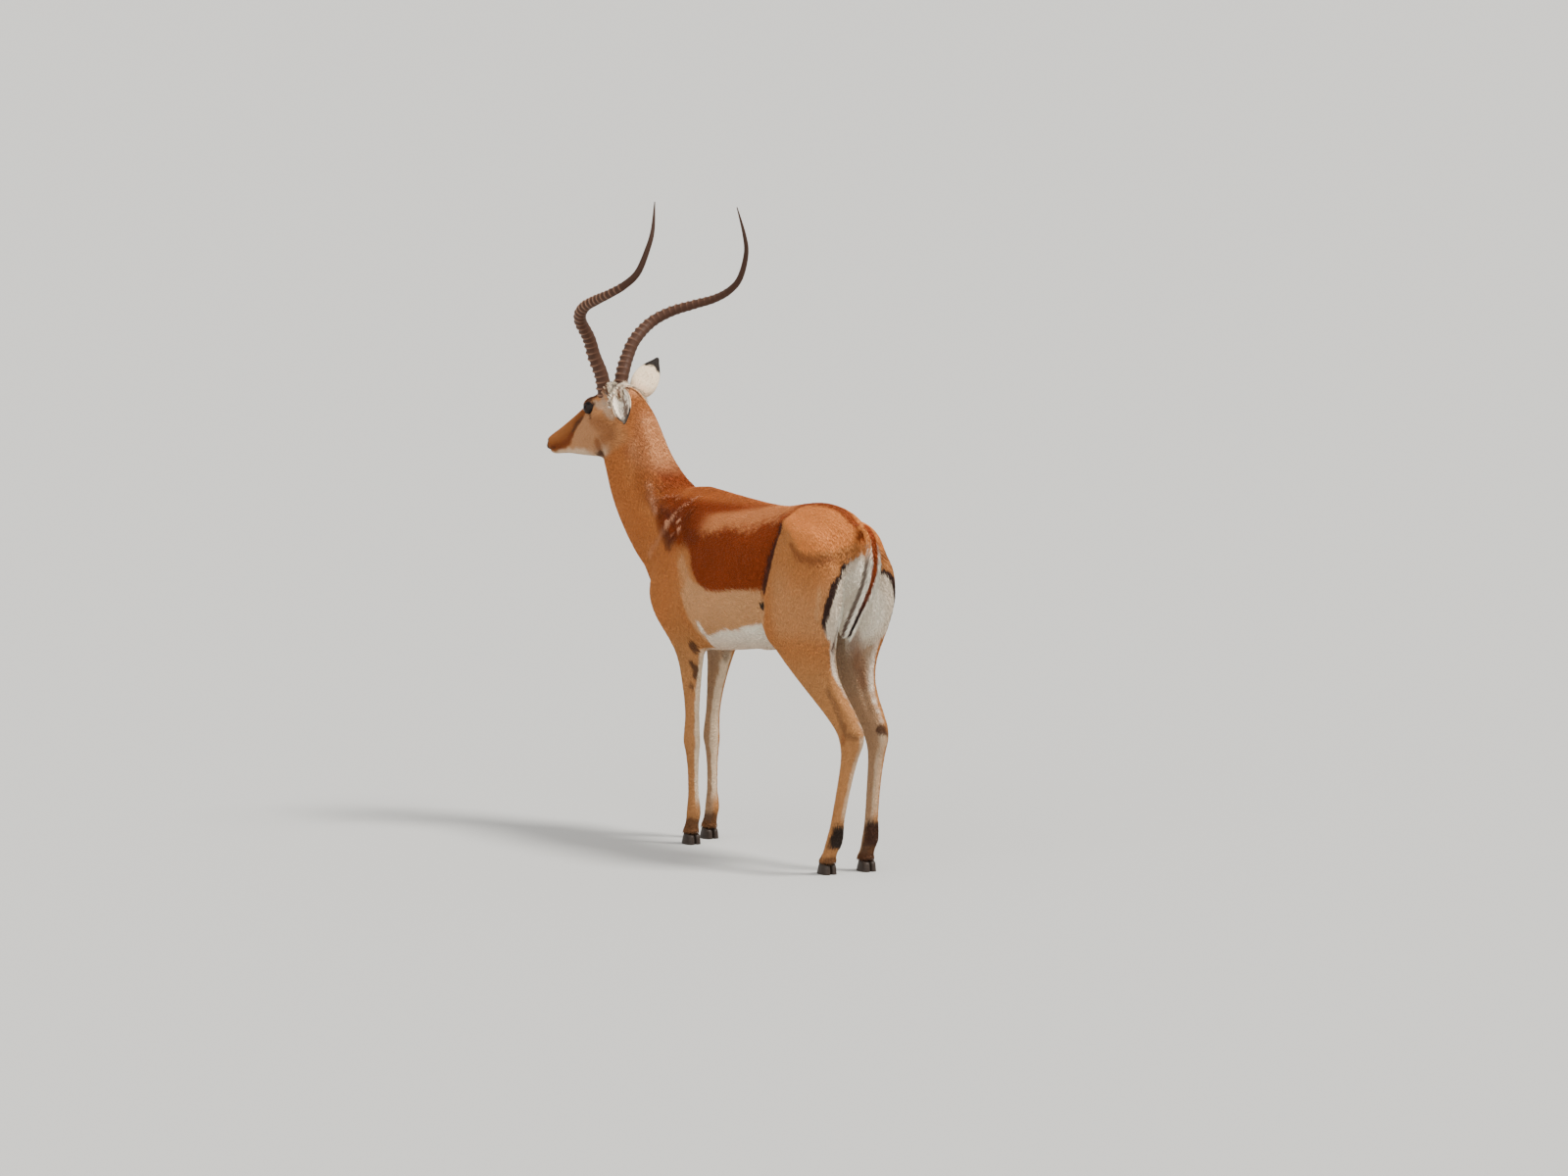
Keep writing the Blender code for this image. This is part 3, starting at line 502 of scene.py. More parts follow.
def sculpt(obj):
    bm = bmesh.new()
    bm.from_mesh(obj.data)
    head = headCoords(np.array([f.calc_center_median() for f in bm.faces]))
    picked = (head[:, 0] > 0.015) & (np.hypot(head[:, 1], head[:, 2]) < 0.125)
    bm.faces.ensure_lookup_table()
    edges = {e for k in np.flatnonzero(picked) for e in bm.faces[k].edges}
    cut = bmesh.ops.subdivide_edges(bm, edges=list(edges), cuts=skinShape["headCuts"],
                                    use_grid_fill=True)
    fresh = list({v for g in cut["geom"] if isinstance(g, bmesh.types.BMFace) for v in g.verts})
    for _ in range(3):
        bmesh.ops.smooth_vert(bm, verts=fresh, factor=0.5, use_axis_x=True, use_axis_y=True,
                              use_axis_z=True)
    bm.to_mesh(obj.data)
    bm.free()
    co, normal = readCo(obj.data), readNormals(obj.data)
    body, head = bodyCoords(co), headCoords(co)
    onHead = (head[:, 0] > -0.05) & (np.hypot(head[:, 1], head[:, 2]) < 0.14) & (body[:, 2] > 0.85)
    lift = np.zeros(len(co))
    square = onLeft(body)
    # legs in the square stance, so that one set of forms fits all four
    for name, leg in stance.items():
        own = (np.sign(body[:, 1]) == leg["side"]) & ((body[:, 0] > -0.05) == name.startswith("fore"))
        low = own & (body[:, 2] < leg["top"])
        heights = body[low, 2]
        grid = np.linspace(0, leg["top"], 60)
        square[low, 0] -= np.interp(heights, grid, [legShift(leg, h) for h in grid])
        share = np.clip((leg["top"] - heights) / (leg["top"] - leg["joint"]), 0, 1)
        square[low, 1] -= leg["out"] * share
        foot = own & (body[:, 2] < 0.040)     # drawn in below the hair line, to end inside the claws
        middle = np.array(legCentre(leg, 0.0, *hoofShape[name[:4]]))[:2]
        draw = 1 - hoofShape["drawIn"] * ramp(-co[foot, 2], -0.0350, -0.0255)
        co[foot, :2] = middle + (co[foot, :2] - middle) * draw[:, None]
    for forms, points, own in ((bodyForms, square, ~onHead), (headForms, onLeft(head), onHead)):
        for path, amount in forms:
            lift[own] += amount / 1000 * np.exp(-nearPath(points[own], path) ** 2)
    depth = np.full(len(co), skinShape["coatDepth"])
    depth += (skinShape["legDepth"] - depth) * ramp(-body[:, 2], -0.62, -0.46)
    near = ramp(-np.hypot(head[:, 1], head[:, 2]), -0.138, -0.100)
    near *= ramp(head[:, 0], -0.05, 0.05) * onHead
    depth += (skinShape["faceDepth"] - depth) * near
    depth += (skinShape["noseDepth"] - depth) * ramp(head[:, 0], 0.24, 0.285) * onHead
    co += normal * (lift - depth)[:, None]
    for sign in (1, -1):                 # room for the eyeballs
        centre, away, reach, w, slit = aroundEye(co, sign)
        ask = np.where(slit < 1.12, eyeShape["radius"] - 0.0022,
                       eyeShape["radius"] + 0.0004 - 0.0026 * (1 - ramp(slit, 1.12, 1.42)))
        held = (w > 0) & (slit < 1.42) & (reach > ask)
        held |= (w > 0) & (slit >= 1.42) & (slit < 1.8) & (reach < eyeShape["radius"] + 0.0002)
        co[held] = centre + away[held] / reach[held, None] * ask[held, None]
    writeCo(obj.data, co)
    thin = obj.modifiers.new("thin", "DECIMATE")
    thin.ratio = skinShape["faces"] / (2 * len(obj.data.polygons))
    thin.use_collapse_triangulate = True
    settle(obj)


# Eyelids as bands on the eyeball, wrapped inwards at the slit
def addLids(bm):
    for sign in (1, -1):
        centre, out, long, high = eyeFrame(sign)
        radius, rise = eyeShape["radius"], eyeShape["lidRise"]
        loops = []
        rims = ((0.965, -0.0005), (0.985, 0.0002), (1.0, rise * 0.75), (1.05, rise * 1.15), (1.12, rise),
                (1.20, rise * 0.7), (1.32, rise * 0.45), (1.42, 0.0), (eyeShape["lidReach"], -0.0035))
        for grow, stand in rims:
            verts = circle(bm, 48)
            for v in verts:
                c, s = v.co.x, v.co.y
                corner = abs(c) ** 5
                u = c * eyeShape["halfLength"] * grow * (1 + 0.06 * corner)
                w = s * eyeShape["halfHeight"] * grow * (1.06 if s > 0 else 0.92) * (1 - 0.15 * corner)
                shell = radius + stand
                depth = math.sqrt(max(shell * shell - u * u - w * w, 1e-8))
                v.co = centre + long * u + high * w + out * depth
            loops.append(edgesOf(verts))
        bridgeAll(bm, loops)


earShape = {
    "width": 0.033, "thickness": 0.0032, "steps": 40, "spans": 22,
    "left": {"root": (-0.002, 0.030, 0.028), "tip": (-0.048, 0.108, -0.074),
             "opening": (-0.15, 0.94, 0.15), "slim": 0.84},
    "right": {"root": (-0.010, -0.028, 0.026), "tip": (-0.030, -0.116, 0.116),
              "opening": (0.50, -0.72, 0.35), "slim": 1.0},
}


# A place on an ear: t from root to tip, u across from rim to rim
def earPoint(ear, t, u, inner):
    root, tip = inHead(*ear["root"]), inHead(*ear["tip"])
    along = (tip - root).normalized()
    a, b, c = ear["opening"]
    opening = headMatrix.to_3x3() @ Vector((b, -a, c))
    opening = (opening - along * opening.dot(along)).normalized()
    across = along.cross(opening)
    width = earShape["width"] * ear["slim"] * (1.0 - 0.80 * (max(t - 0.45, 0.0) / 0.55) ** 3.2)
    width *= 0.40 + 0.60 * math.sin(math.pi * min(t / 0.9, 1.0) ** 0.8)
    cup = width * (0.95 - 0.60 * t)
    centre = root.lerp(tip, t) - opening * 0.010 * math.sin(math.pi * t)
    lift = cup * (1 - math.cos(u * 1.45)) * 0.9
    thick = earShape["thickness"] * (1.1 - 0.6 * abs(u)) * (1.0 - 0.5 * t)
    side = across * width * math.sin(u * 1.45) / math.sin(1.45)
    return centre + side + opening * (lift + (thick / 2 if inner else -thick / 2))


def addEars(bm):
    for name in ("left", "right"):
        ear, spans = earShape[name], earShape["spans"]
        loops = []
        last = earShape["steps"]
        for i in range(last + 1):
            verts = circle(bm, 2 * spans, i in (0, last))
            for k, v in enumerate(verts):
                inner = k >= spans
                u = -1 + 2 * (k + 0.5) / spans if not inner else 1 - 2 * (k - spans + 0.5) / spans
                v.co = earPoint(ear, i / last, u * 0.99, inner)
            loops.append(edgesOf(verts))
        bridgeAll(bm, loops)


hues = {
    "tan": (478, 190, 56), "paleTan": (590, 312, 140), "neck": (440, 143, 35), "neckShade": (290, 82, 18),
    "rufous": (225, 36, 4), "deepRufous": (145, 25, 5), "haunch": (640, 218, 54),
    "saddleHighlight": (620, 245, 85), "leg": (470, 224, 82), "face": (235, 70, 15), "cheek": (470, 230, 105),
    "cheekBrown": (285, 108, 38), "cream": (840, 670, 470), "white": (920, 830, 690),
    "beige": (560, 420, 290), "grey": (400, 310, 235), "curlHighlight": (640, 300, 165), "sunlitPeach": (720, 330, 140),
    "creaseShade": (55, 16, 10), "earStreak": (200, 130, 95), "black": (16, 11, 9), "umber": (70, 26, 12),
    "shade": (250, 78, 22), "stripe": (34, 13, 8), "inside": (420, 270, 160),
}
hues = {name: np.array(value) / 1000 for name, value in hues.items()}      # linear red, green, blue

saddleLoop = metres((
    (470, 1020), (392, 975), (345, 905), (300, 838), (240, 785), (190, 768), (145, 778), (112, 762),
    (92, 722), (60, 694), (22, 679), (-15, 678), (-96, 686), (-169, 694), (-206, 702), (-219, 724),
    (-233, 786), (-242, 847), (-246, 880), (-250, 940), (-250, 1200), (470, 1200),
))
paleFlankLoop = metres((
    (150, 660), (110, 700), (58, 692), (-200, 702), (-212, 640), (-190, 560), (110, 540),
))
haunchEdge = metres((
    (-476, 834), (-458, 819), (-442, 808), (-409, 807), (-367, 814), (-323, 837), (-261, 852),
    (-244, 885),
))
# Lower edge of a band on the upper flank painted lighter, partly as painted sunlight
highlightEdge = metres(((-240, 880), (-220, 868), (-140, 850), (-70, 834), (0, 822), (70, 812)))
muzzleLoop = metres((
    (330, -14), (280, -28), (262, -33), (232, -37), (210, -32), (192, -18), (168, -2), (146, 10),
    (128, 18), (110, 44), (60, 50), (20, 46), (20, 120), (330, 120),
))
headLoop = metres((
    (-38, 160), (-42, 10), (-5, -85), (60, -118), (125, -112), (200, -92), (360, -92), (360, 160),
))
# Where the white of the rump meets the tan of the thigh: height, turn round the thigh in degrees
rumpEdge = ((0.40, -60), (0.52, -40), (0.57, 0), (0.60, 22), (0.631, 28), (0.686, 23), (0.741, 16),
            (0.783, -6), (0.803, -24))
thighMiddle = (-0.360, 0.050)

# Strokes: hue, strength, softness, path of forward, to the side, up and radius, in millimetres
bodyStrokes = (
    ("rufous", 0.9, 0.9, ((-235, 0, 912, 28), (-350, 0, 912, 18), (-420, 0, 895, 13), (-465, 0, 862, 12),
        (-482, 0, 835, 10))),
    ("shade", 0.75, 1.2, ((-325, 112, 822, 6), (-352, 117, 805, 10), (-378, 118, 794, 13),
        (-415, 112, 789, 14), (-446, 96, 792, 13), (-468, 70, 798, 9))),
    # painted shade darkening the crease before the thigh
    ("creaseShade", 0.92, 0.7, ((-240, 82, 858, 7), (-236, 100, 818, 10), (-230, 106, 782, 11.2),
        (-219, 112, 722, 10.8), (-211, 111, 698, 8))), ("black", 0.97, 0.4, ((-202, 113, 657, 11),)),
    # Round the ruffled shoulder locks: the deepRufous and creaseShade strokes are painted shade in the
    # hollows between them, the curlHighlight strokes painted highlights on them
    ("deepRufous", 0.55, 1.3, ((345, 90, 880, 14), (305, 90, 866, 24), (250, 95, 852, 28),
        (205, 95, 842, 24), (165, 90, 866, 16))),
    ("neck", 0.55, 1.3, ((300, 100, 760, 40), (240, 110, 740, 45), (190, 118, 720, 30))),
    ("deepRufous", 0.6, 1.2, ((313, 85, 857, 20), (270, 98, 800, 16), (229, 104, 776, 20))),
    ("deepRufous", 0.6, 1.2, ((175, 100, 832, 18), (150, 104, 800, 22), (98, 108, 800, 18))),
    ("creaseShade", 0.5, 1.5, ((262, 94, 806, 13), (232, 100, 784, 18), (206, 104, 794, 12))),
    ("creaseShade", 0.45, 1.4, ((300, 88, 862, 12), (262, 92, 852, 14), (222, 98, 832, 12))),
    ("curlHighlight", 0.35, 1.3, ((356, 84, 918, 10), (346, 84, 890, 11), (330, 88, 866, 10), (321, 90, 846, 8))),
    ("curlHighlight", 0.4, 1.2, ((322, 86, 886, 9), (292, 88, 892, 10), (250, 92, 886, 10))),
    ("curlHighlight", 0.85, 0.9, ((254, 96, 826, 10.5),)), ("curlHighlight", 0.85, 0.9, ((195, 104, 816, 9.5),)),
    ("curlHighlight", 0.85, 1, ((238, 94, 844, 10), (212, 94, 870, 12), (176, 90, 896, 12))),
    ("curlHighlight", 0.24, 1.2, ((250, 94, 822, 9), (296, 91, 778, 10), (355, 82, 738, 9))),
    ("neckShade", 0.6, 1.3, ((392, 88, 1060, 14), (377, 87, 998, 20), (372, 91, 948, 25),
        (362, 95, 895, 24))),
    ("paleTan", 0.6, 1.2, ((160, 122, 745, 16), (135, 126, 710, 26), (110, 130, 670, 30))),
    ("white", 0.8, 0.6, ((92, 106, 588, 8), (88, 108, 560, 12))),
    ("shade", 0.5, 0.9, ((-515, 60, 372, 18), (-505, 78, 345, 10))),
    ("paleTan", 0.55, 0.9, ((-440, 96, 766, 8), (-452, 108, 705, 8), (-440, 110, 650, 7))),
)
leftStrokes = (
    ("umber", 0.85, 0.6, ((170, 76, 523, 10), (160, 74, 505, 10))),
    ("umber", 0.85, 0.6, ((180, 72, 474, 8), (168, 66, 458, 9), (173, 61, 440, 9))),
    ("umber", 0.7, 0.8, ((186, 64, 412, 7), (180, 70, 398, 6))),
    # painted shade along the groove down the left gaskin
    ("umber", 0.45, 1.2, ((-447, 84, 468, 7), (-483, 79, 418, 8.5), (-521, 77, 363, 9),
        (-551, 66, 358, 9))),
    # painted shadow cast by the tail on the left buttock
    ("creaseShade", 0.8, 0.8, ((-470, 56, 632, 6), (-463, 60, 606, 7.5), (-454, 69, 568, 6))),
)
rightStrokes = (
    ("umber", 0.55, 0.8, ((175, -40, 510, 10), (182, -35, 470, 10))),
    ("umber", 0.9, 0.6, ((-501, -39, 366, 12), (-500, -50, 352, 10))),
    ("shade", 0.5, 1.6, ((-385, -26, 616, 18), (-396, -32, 578, 22), (-402, -36, 530, 18),
        (-425, -38, 470, 12))),
)
# In the head's frame, for both sides
headStrokes = (
    ("umber", 0.6, 1, ((105, 0, 62, 20), (60, 0, 70, 26))),
    ("cream", 0.2, 1.4, ((132, 38, 40, 5), (118, 44, 50, 5))),
    # the cheek's own brown, carried to the angle of the jaw as painted shade
    ("cheekBrown", 0.7, 1.5, ((104, 46, -12, 14), (72, 48, -36, 22), (60, 46, -66, 20),
        (86, 45, -62, 16))), ("beige", 0.6, 1.1, ((78, 48, 26, 9), (52, 48, 10, 13), (40, 46, -18, 13))),
    ("grey", 0.6, 1, ((58, 46, 46, 10), (52, 48, 20, 7))),
    ("beige", 0.85, 1, ((34, 14, 64, 16), (28, 34, 52, 17), (16, 46, 30, 16))),
    ("white", 0.92, 0.9, ((30, 14, 66, 16), (26, 32, 58, 14), (33, 44, 30, 7), (37, 48, 2, 5))),
    ("earStreak", 0.8, 0.7, ((14, 20, 62, 4.5), (18, 40, 46, 4.5), (21, 48, 16, 4), (24, 48, -6, 3))),
    ("earStreak", 0.75, 0.7, ((46, 16, 68, 5), (40, 30, 62, 5), (42, 43, 42, 4))),
    ("white", 0.92, 0.8, ((0, 12, 56, 12), (2, 36, 50, 12), (-8, 42, 28, 12))),
    ("cream", 0.85, 1, ((-12, 40, 34, 14), (-16, 44, 12, 12))),
    ("umber", 0.85, 0.7, ((100, 50, 42, 10), (88, 43, 55, 13), (70, 34, 64, 14))),
    ("umber", 0.92, 0.5, ((130, 46, 20, 7), (105, 54, 28, 15.5), (86, 53, 26, 8))),
    ("umber", 0.8, 0.8, ((108, 49, 10, 8), (110, 47, 0, 4))),
    ("umber", 0.78, 0.8, ((143, 37, 13, 5), (168, 33, 4, 6.5), (192, 30, -8, 5))),
    ("face", 0.8, 1, ((215, 28, -12, 12), (245, 24, -22, 11), (272, 20, -18, 10))),
    ("deepRufous", 0.62, 1.1, ((196, 28, -14, 6.5), (222, 26, -24, 9), (250, 23, -26, 8.5),
        (276, 18, -20, 6))),
    ("cream", 0.62, 1.3, ((290, 0, -31, 9), (262, 10, -44, 11), (225, 12, -56, 14), (180, 10, -70, 14))),
    ("black", 0.97, 0.5, ((301, 0, -2, 12), (297, 10, 1, 10.5), (286, 18, 2, 7.5))),
    ("black", 0.92, 0.6, ((303, 0, -4, 8), (300, 0, -14, 6))),
    ("black", 0.85, 0.4, ((299, 0, -18, 2.2), (286, 17, -21, 2), (240, 26, -27, 1.7))),
)
# Painted shade under the angle of the jaw, on the left side only
leftJawShadeStrokes = (
    ("shade", 0.75, 1.2, ((118, 36, -62, 12), (124, 32, -80, 13), (130, 22, -92, 13))),
    ("umber", 0.85, 0.8, ((140, 14, -92, 10), (126, 24, -92, 11))),
)
crownPale = ((14, -10, 56, 14), (-10, -22, 42, 13), (-18, -36, 22, 10))
# path of a painted shadow line under the ear's lower edge, where it lies over the nape
earEdgeShadowPath = ((-4, 12, 46, 3.2), (-20, -2, 30, 3.6), (-30, -22, 6, 3.2))


def lay(colour, mask, hue):
    if isinstance(hue, str):
        hue = hues[hue]
    colour += (hue - colour) * np.clip(mask, 0, 1)[:, None]


def stroke(colour, points, ragged, spec):
    hue, strength, soft, path = spec
    gap = nearPath(points, path) + ragged
    lay(colour, strength * ramp(-gap, -1 - soft / 2, -1 + soft / 2), hue)


# Along the tail 0..1, sideways over the half width, and whether on its outer face
def tailLocal(body):
    rows = np.array(smoothRows(tailRows, 3))
    top = skinShape["tailTop"]
    height = np.clip(body[:, 2], rows[-1, 2], top)
    rows = rows[np.argsort(rows[:, 2])]
    middle, left, half = (np.interp(height, rows[:, 2], rows[:, k]) for k in (0, 1, 4))
    return (top - height) / skinShape["tailDrop"], (body[:, 1] - left) / half, middle - body[:, 0]


# Soft shares of head, neck and tail at each place
def zones(co):
    body, head = bodyCoords(co), headCoords(co)
    inBlock = insideLoop(head[:, 0], head[:, 2], headLoop)
    headShare = ramp(inBlock, -0.018, 0.018) * (body[:, 2] > 0.86) * (np.abs(head[:, 1]) < 0.2)
    slope = (body[:, 0] - 0.335) * 0.75 + (body[:, 2] - 0.800) * 0.66
    neckShare = ramp(slope, -0.035, 0.035)
    tailShare = ((body[:, 0] < -0.476) & (body[:, 2] > 0.565)) * ramp(-body[:, 0], 0.486, 0.502)
    tailShare = tailShare * (np.abs(tailLocal(body)[1]) < 1.6)
    return headShare, neckShare, tailShare


# Linear colour of the coat at each place
def paint(co, normal):
    body, head = bodyCoords(co), headCoords(co)
    headShare, neckShare, tailShare = zones(co)
    f, l, z = body.T
    a = np.abs(l)
    fine, broad = wander(co, 0.020), wander(co, 0.110, 1.7)
    edge = fine * 0.0035 + broad * 0.004
    inward = -normal[:, 0] * np.sign(l)
    backward = normal[:, 1]
    colour = np.tile(hues["tan"], (len(co), 1))
    lay(colour, 0.30 + 0.18 * broad, "neck")
    lay(colour, 0.6 * ramp(f, 0.12, 0.30) * ramp(z, 0.50, 0.75), "neck")
    # the haunch above its edge painted bright: partly its own paler coat, partly painted sunlight
    line = np.interp(f, *haunchEdge.T)
    lay(colour, 0.95 * ramp(z - line + edge, -0.004, 0.006) * (f < -0.20), "haunch")
    lay(colour, 0.45 * (1 - ramp(z - line, -0.150, -0.040)) * ramp(-f, 0.22, 0.30) * ramp(z, 0.56, 0.62),
        "paleTan")
    pale = insideLoop(f, z, paleFlankLoop) + edge
    lay(colour, 0.92 * ramp(pale, -0.010, 0.010) * (1 - neckShare), "paleTan")
    saddle = insideLoop(f, z, saddleLoop)
    soft = 0.006 + 0.014 * ramp(f, 0.07, 0.16) + 0.004 * ramp(-f, 0.236, 0.26)
    lay(colour, ramp(saddle + edge * (0.4 + 2.0 * ramp(f, 0.07, 0.2)), -soft, soft) * (1 - headShare),
        "rufous")
    # a band along the upper flank painted lighter: partly the coat's colour, partly painted sunlight
    low = np.interp(f, *highlightEdge.T)
    band = ramp(z - low + 3 * edge, -0.014, 0.016) * (1 - ramp(z - low, 0.040, 0.058))
    band *= ramp(-f, -0.12, -0.04) * ramp(f, -0.25, -0.20)
    lay(colour, 0.72 * band, "saddleHighlight")
    # the top of the back painted lighter as a painted highlight where the sun falls
    sunlitRidge = ramp(z, 0.878, 0.896) * (1 - ramp(f, 0.26, 0.34)) * ramp(f, -0.30, -0.22)
    lay(colour, 0.35 * sunlitRidge, "haunch")
    # belly and the insides of the legs
    belly = 0.562 + (0.055 - f) * 0.18 + edge - z
    reach = np.interp(f, (-0.40, -0.20, -0.12, 0.07, 0.12, 0.40), (0.050, 0.085, 0.13, 0.13, 0.045, 0.03))
    under = ramp(belly, -0.004, 0.006) * ramp(reach - a, -0.006, 0.010) * ramp(z, 0.42, 0.50)
    lay(colour, under * (f < 0.36), "white")
    leg = ramp(-z, -0.60, -0.46)
    lay(colour, 0.75 * leg, "leg")
    behindIn = 0.34 * inward + 0.94 * backward
    # the inner faces of the lower legs painted darker beige: partly the coat's colour, partly painted
    # shade between the legs
    lay(colour, 0.75 * leg * ramp(inward + 0.05 * fine, 0.20, 0.80) * (z > 0.05), "inside")
    lay(colour, 0.85 * leg * (f > 0) * ramp(behindIn + 0.06 * fine, 0.62, 0.86) * ramp(z, 0.09, 0.14),
        "cream")
    lay(colour, 0.70 * (f < -0.2) * ramp(-z, -0.62, -0.56) * ramp(z, 0.36, 0.42)
        * ramp(behindIn + 0.05 * fine, 0.74, 0.90), "white")
    lay(colour, 0.45 * (f < -0.2) * (z < 0.36) * ramp(behindIn + 0.06 * fine, 0.60, 0.90)
        * ramp(z, 0.13, 0.17), "cream")
    # the inner faces of the thighs painted the same, partly painted shade between the legs
    lay(colour, 0.80 * ramp(inward, 0.2, 0.7) * (z < 0.66) * ramp(z, 0.40, 0.50) * (f < -0.12), "inside")
    # rump and thigh stripe
    turn = np.degrees(np.arctan2(a - thighMiddle[1], thighMiddle[0] - f))
    heights, turns = np.array(rumpEdge, float).T
    limit = np.interp(z, heights, turns) + 0.3 * fine
    seat = (f < thighMiddle[0]) * ramp(z, 0.53, 0.60) * ramp(-z, -0.812, -0.800)
    lay(colour, seat * ramp(limit - turn, -3.5, 3.5), "white")
    # a beige band along the white's edge beside the stripe, painted shade on the rump
    lay(colour, seat * 0.55 * ramp(limit - turn, -1, 4) * (1 - ramp(limit - turn, 10, 22)), "beige")
    wide = np.interp(z, (0.60, 0.66, 0.76, 0.80), (1.6, 4.6, 5.8, 1.6))
    stripe = np.clip(1 - np.abs(turn - limit) / wide, 0, 1)
    fade = ramp(z, 0.600, 0.630) * ramp(-z, -0.797, -0.776)
    lay(colour, seat * fade * ramp(stripe, 0.05, 0.45), "stripe")
    # legs low down
    lay(colour, 0.75 * ramp(-z + edge, -0.080, -0.062) * (f > 0), "umber")
    lay(colour, 0.70 * ramp(-z + edge, -0.052, -0.040) * (f < 0), "umber")
    hind = (f < -0.2) & (z < 0.2)
    behind = ramp(backward + 0.15 * fine, -0.15, 0.35)
    spot = ramp(z, 0.070, 0.082) * (1 - ramp(z, 0.128, 0.142))
    lay(colour, hind * 0.97 * spot * behind, "black")
    lay(colour, hind * (l < 0) * 0.85 * (1 - ramp(z, 0.120, 0.138)) * ramp(backward, -0.55, 0.1), "umber")
    # throat, nape and neck
    frontNeck = neckShare * (1 - headShare)
    lay(colour, 0.9 * frontNeck * (1 - ramp(saddle, -0.03, 0.03)), "neck")
    lay(colour, 0.55 * frontNeck * ramp(saddle, -0.02, 0.03) * ramp(z, 0.93, 1.02), "neck")
    lay(colour, 0.30 * frontNeck * ramp(broad, 0.0, 0.9), "tan")
    lay(colour, 0.30 * frontNeck * ramp(-backward, 0.35, 0.9), "paleTan")
    # the back and top of the neck, the side facing the sun, painted pale peach: partly the coat's colour,
    # partly painted sunlight
    sunFacing = backward + 0.5 * normal[:, 2] * ramp(z, 1.00, 1.06) + 0.06 * broad
    lay(colour, 0.72 * frontNeck * ramp(sunFacing, 0.30, 0.80) * ramp(z, 0.925, 0.985), "sunlitPeach")
    # tail
    down, beside, outer = tailLocal(body)
    lay(colour, tailShare * ramp(down, 0.08, 0.26), "white")
    middle = np.interp(down, (0.0, 0.18, 0.45, 0.80, 1.0), (0.60, 0.46, 0.36, 0.28, 0.26))
    band = tailShare * ramp(middle - np.abs(beside + 0.06 * fine), -0.10, 0.10)
    band *= ramp(outer, -0.002, 0.004)
    lay(colour, band, "rufous")
    lay(colour, band * ramp(down, 0.32, 0.75), "black")
    ragged = 0.22 * fine + 0.12 * wander(co, 0.009)
    onBody = 1 - np.maximum(headShare, tailShare)
    for group, points in ((bodyStrokes, onLeft(body)), (leftStrokes, body), (rightStrokes, body)):
        for spec in group:
            before = colour.copy()
            stroke(colour, points, ragged, spec)
            colour = before + (colour - before) * onBody[:, None]
    # head
    along, _, above = head.T
    face = np.tile(hues["tan"], (len(co), 1))
    lay(face, 0.35 + 0.55 * ramp(along, 0.06, 0.13), "cheek")
    underJaw = ramp(-above + edge, 0.060, 0.088) * (1 - ramp(-above, 0.094, 0.110))
    lay(face, 0.50 * underJaw * ramp(along, 0.060, 0.130), "cream")
    lay(face, 0.90 * ramp(-above, 0.092, 0.108), "neck")
    bridge = insideLoop(along, above, muzzleLoop) + edge * 0.6
    lay(face, ramp(bridge, -0.003, 0.003), "face")
    lay(face, 0.30 * ramp(bridge, 0.010, 0.030) * ramp(along, 0.12, 0.20), "tan")
    lay(face, 0.8 * ramp(-along, -0.030, 0.005), "neck")
    # the back of the head by the nape painted sunlitPeach, partly painted sunlight
    lay(face, 0.75 * ramp(-along, -0.015, 0.015) * ramp(above, 0.000, 0.030), "sunlitPeach")
    for spec in headStrokes:
        stroke(face, onLeft(head), ragged * 0.8, spec)
    for spec in leftJawShadeStrokes:
        stroke(face, head, ragged, spec)
    nose = along + 0.10 * above + 0.4 * edge
    lay(face, 0.97 * ramp(nose, 0.2825, 0.2870) * ramp(above, -0.0215, -0.0175), "black")
    stroke(face, head, ragged, ("cream", 0.85, 0.7, crownPale))
    colour += (face - colour) * headShare[:, None]
    # painted shadow line under the ear's lower edge, on the nape
    earEdgeShadow = ramp(-nearPath(head, earEdgeShadowPath) - 0.2 * fine, -1.4, -0.7)
    lay(colour, 0.85 * earEdgeShadow * (body[:, 2] > 1.0), "umber")
    grain = 1 + 0.05 * wander(co, 0.012, 0.9) + 0.05 * broad
    return np.clip(colour * grain[:, None], 0.002, 0.95)


# Linear colour on an ear: pale back with a black tip, white inside with dark streaks
def paintEar(t, u, inner, fine):
    colour = np.tile(hues["cream"], (len(t), 1))
    lay(colour, 0.35 * ramp(-t, -0.25, 0.0), "neck")
    lay(colour, inner * 0.8, "white")
    lay(colour, inner * 0.50 * ramp(t, 0.30, 0.62), "grey")
    lay(colour, inner * 0.90 * ramp(np.cos(u * 5.2 + 0.8 * fine + 1.2 * t), 0.05, 0.60), "earStreak")
    tip = ramp(t + 0.03 * fine + 0.06 * (np.abs(u) - 0.5), 0.60 + 0.08 * inner, 0.67 + 0.16 * inner)
    lay(colour, (1.0 - 0.20 * inner) * tip, "black")
    return colour


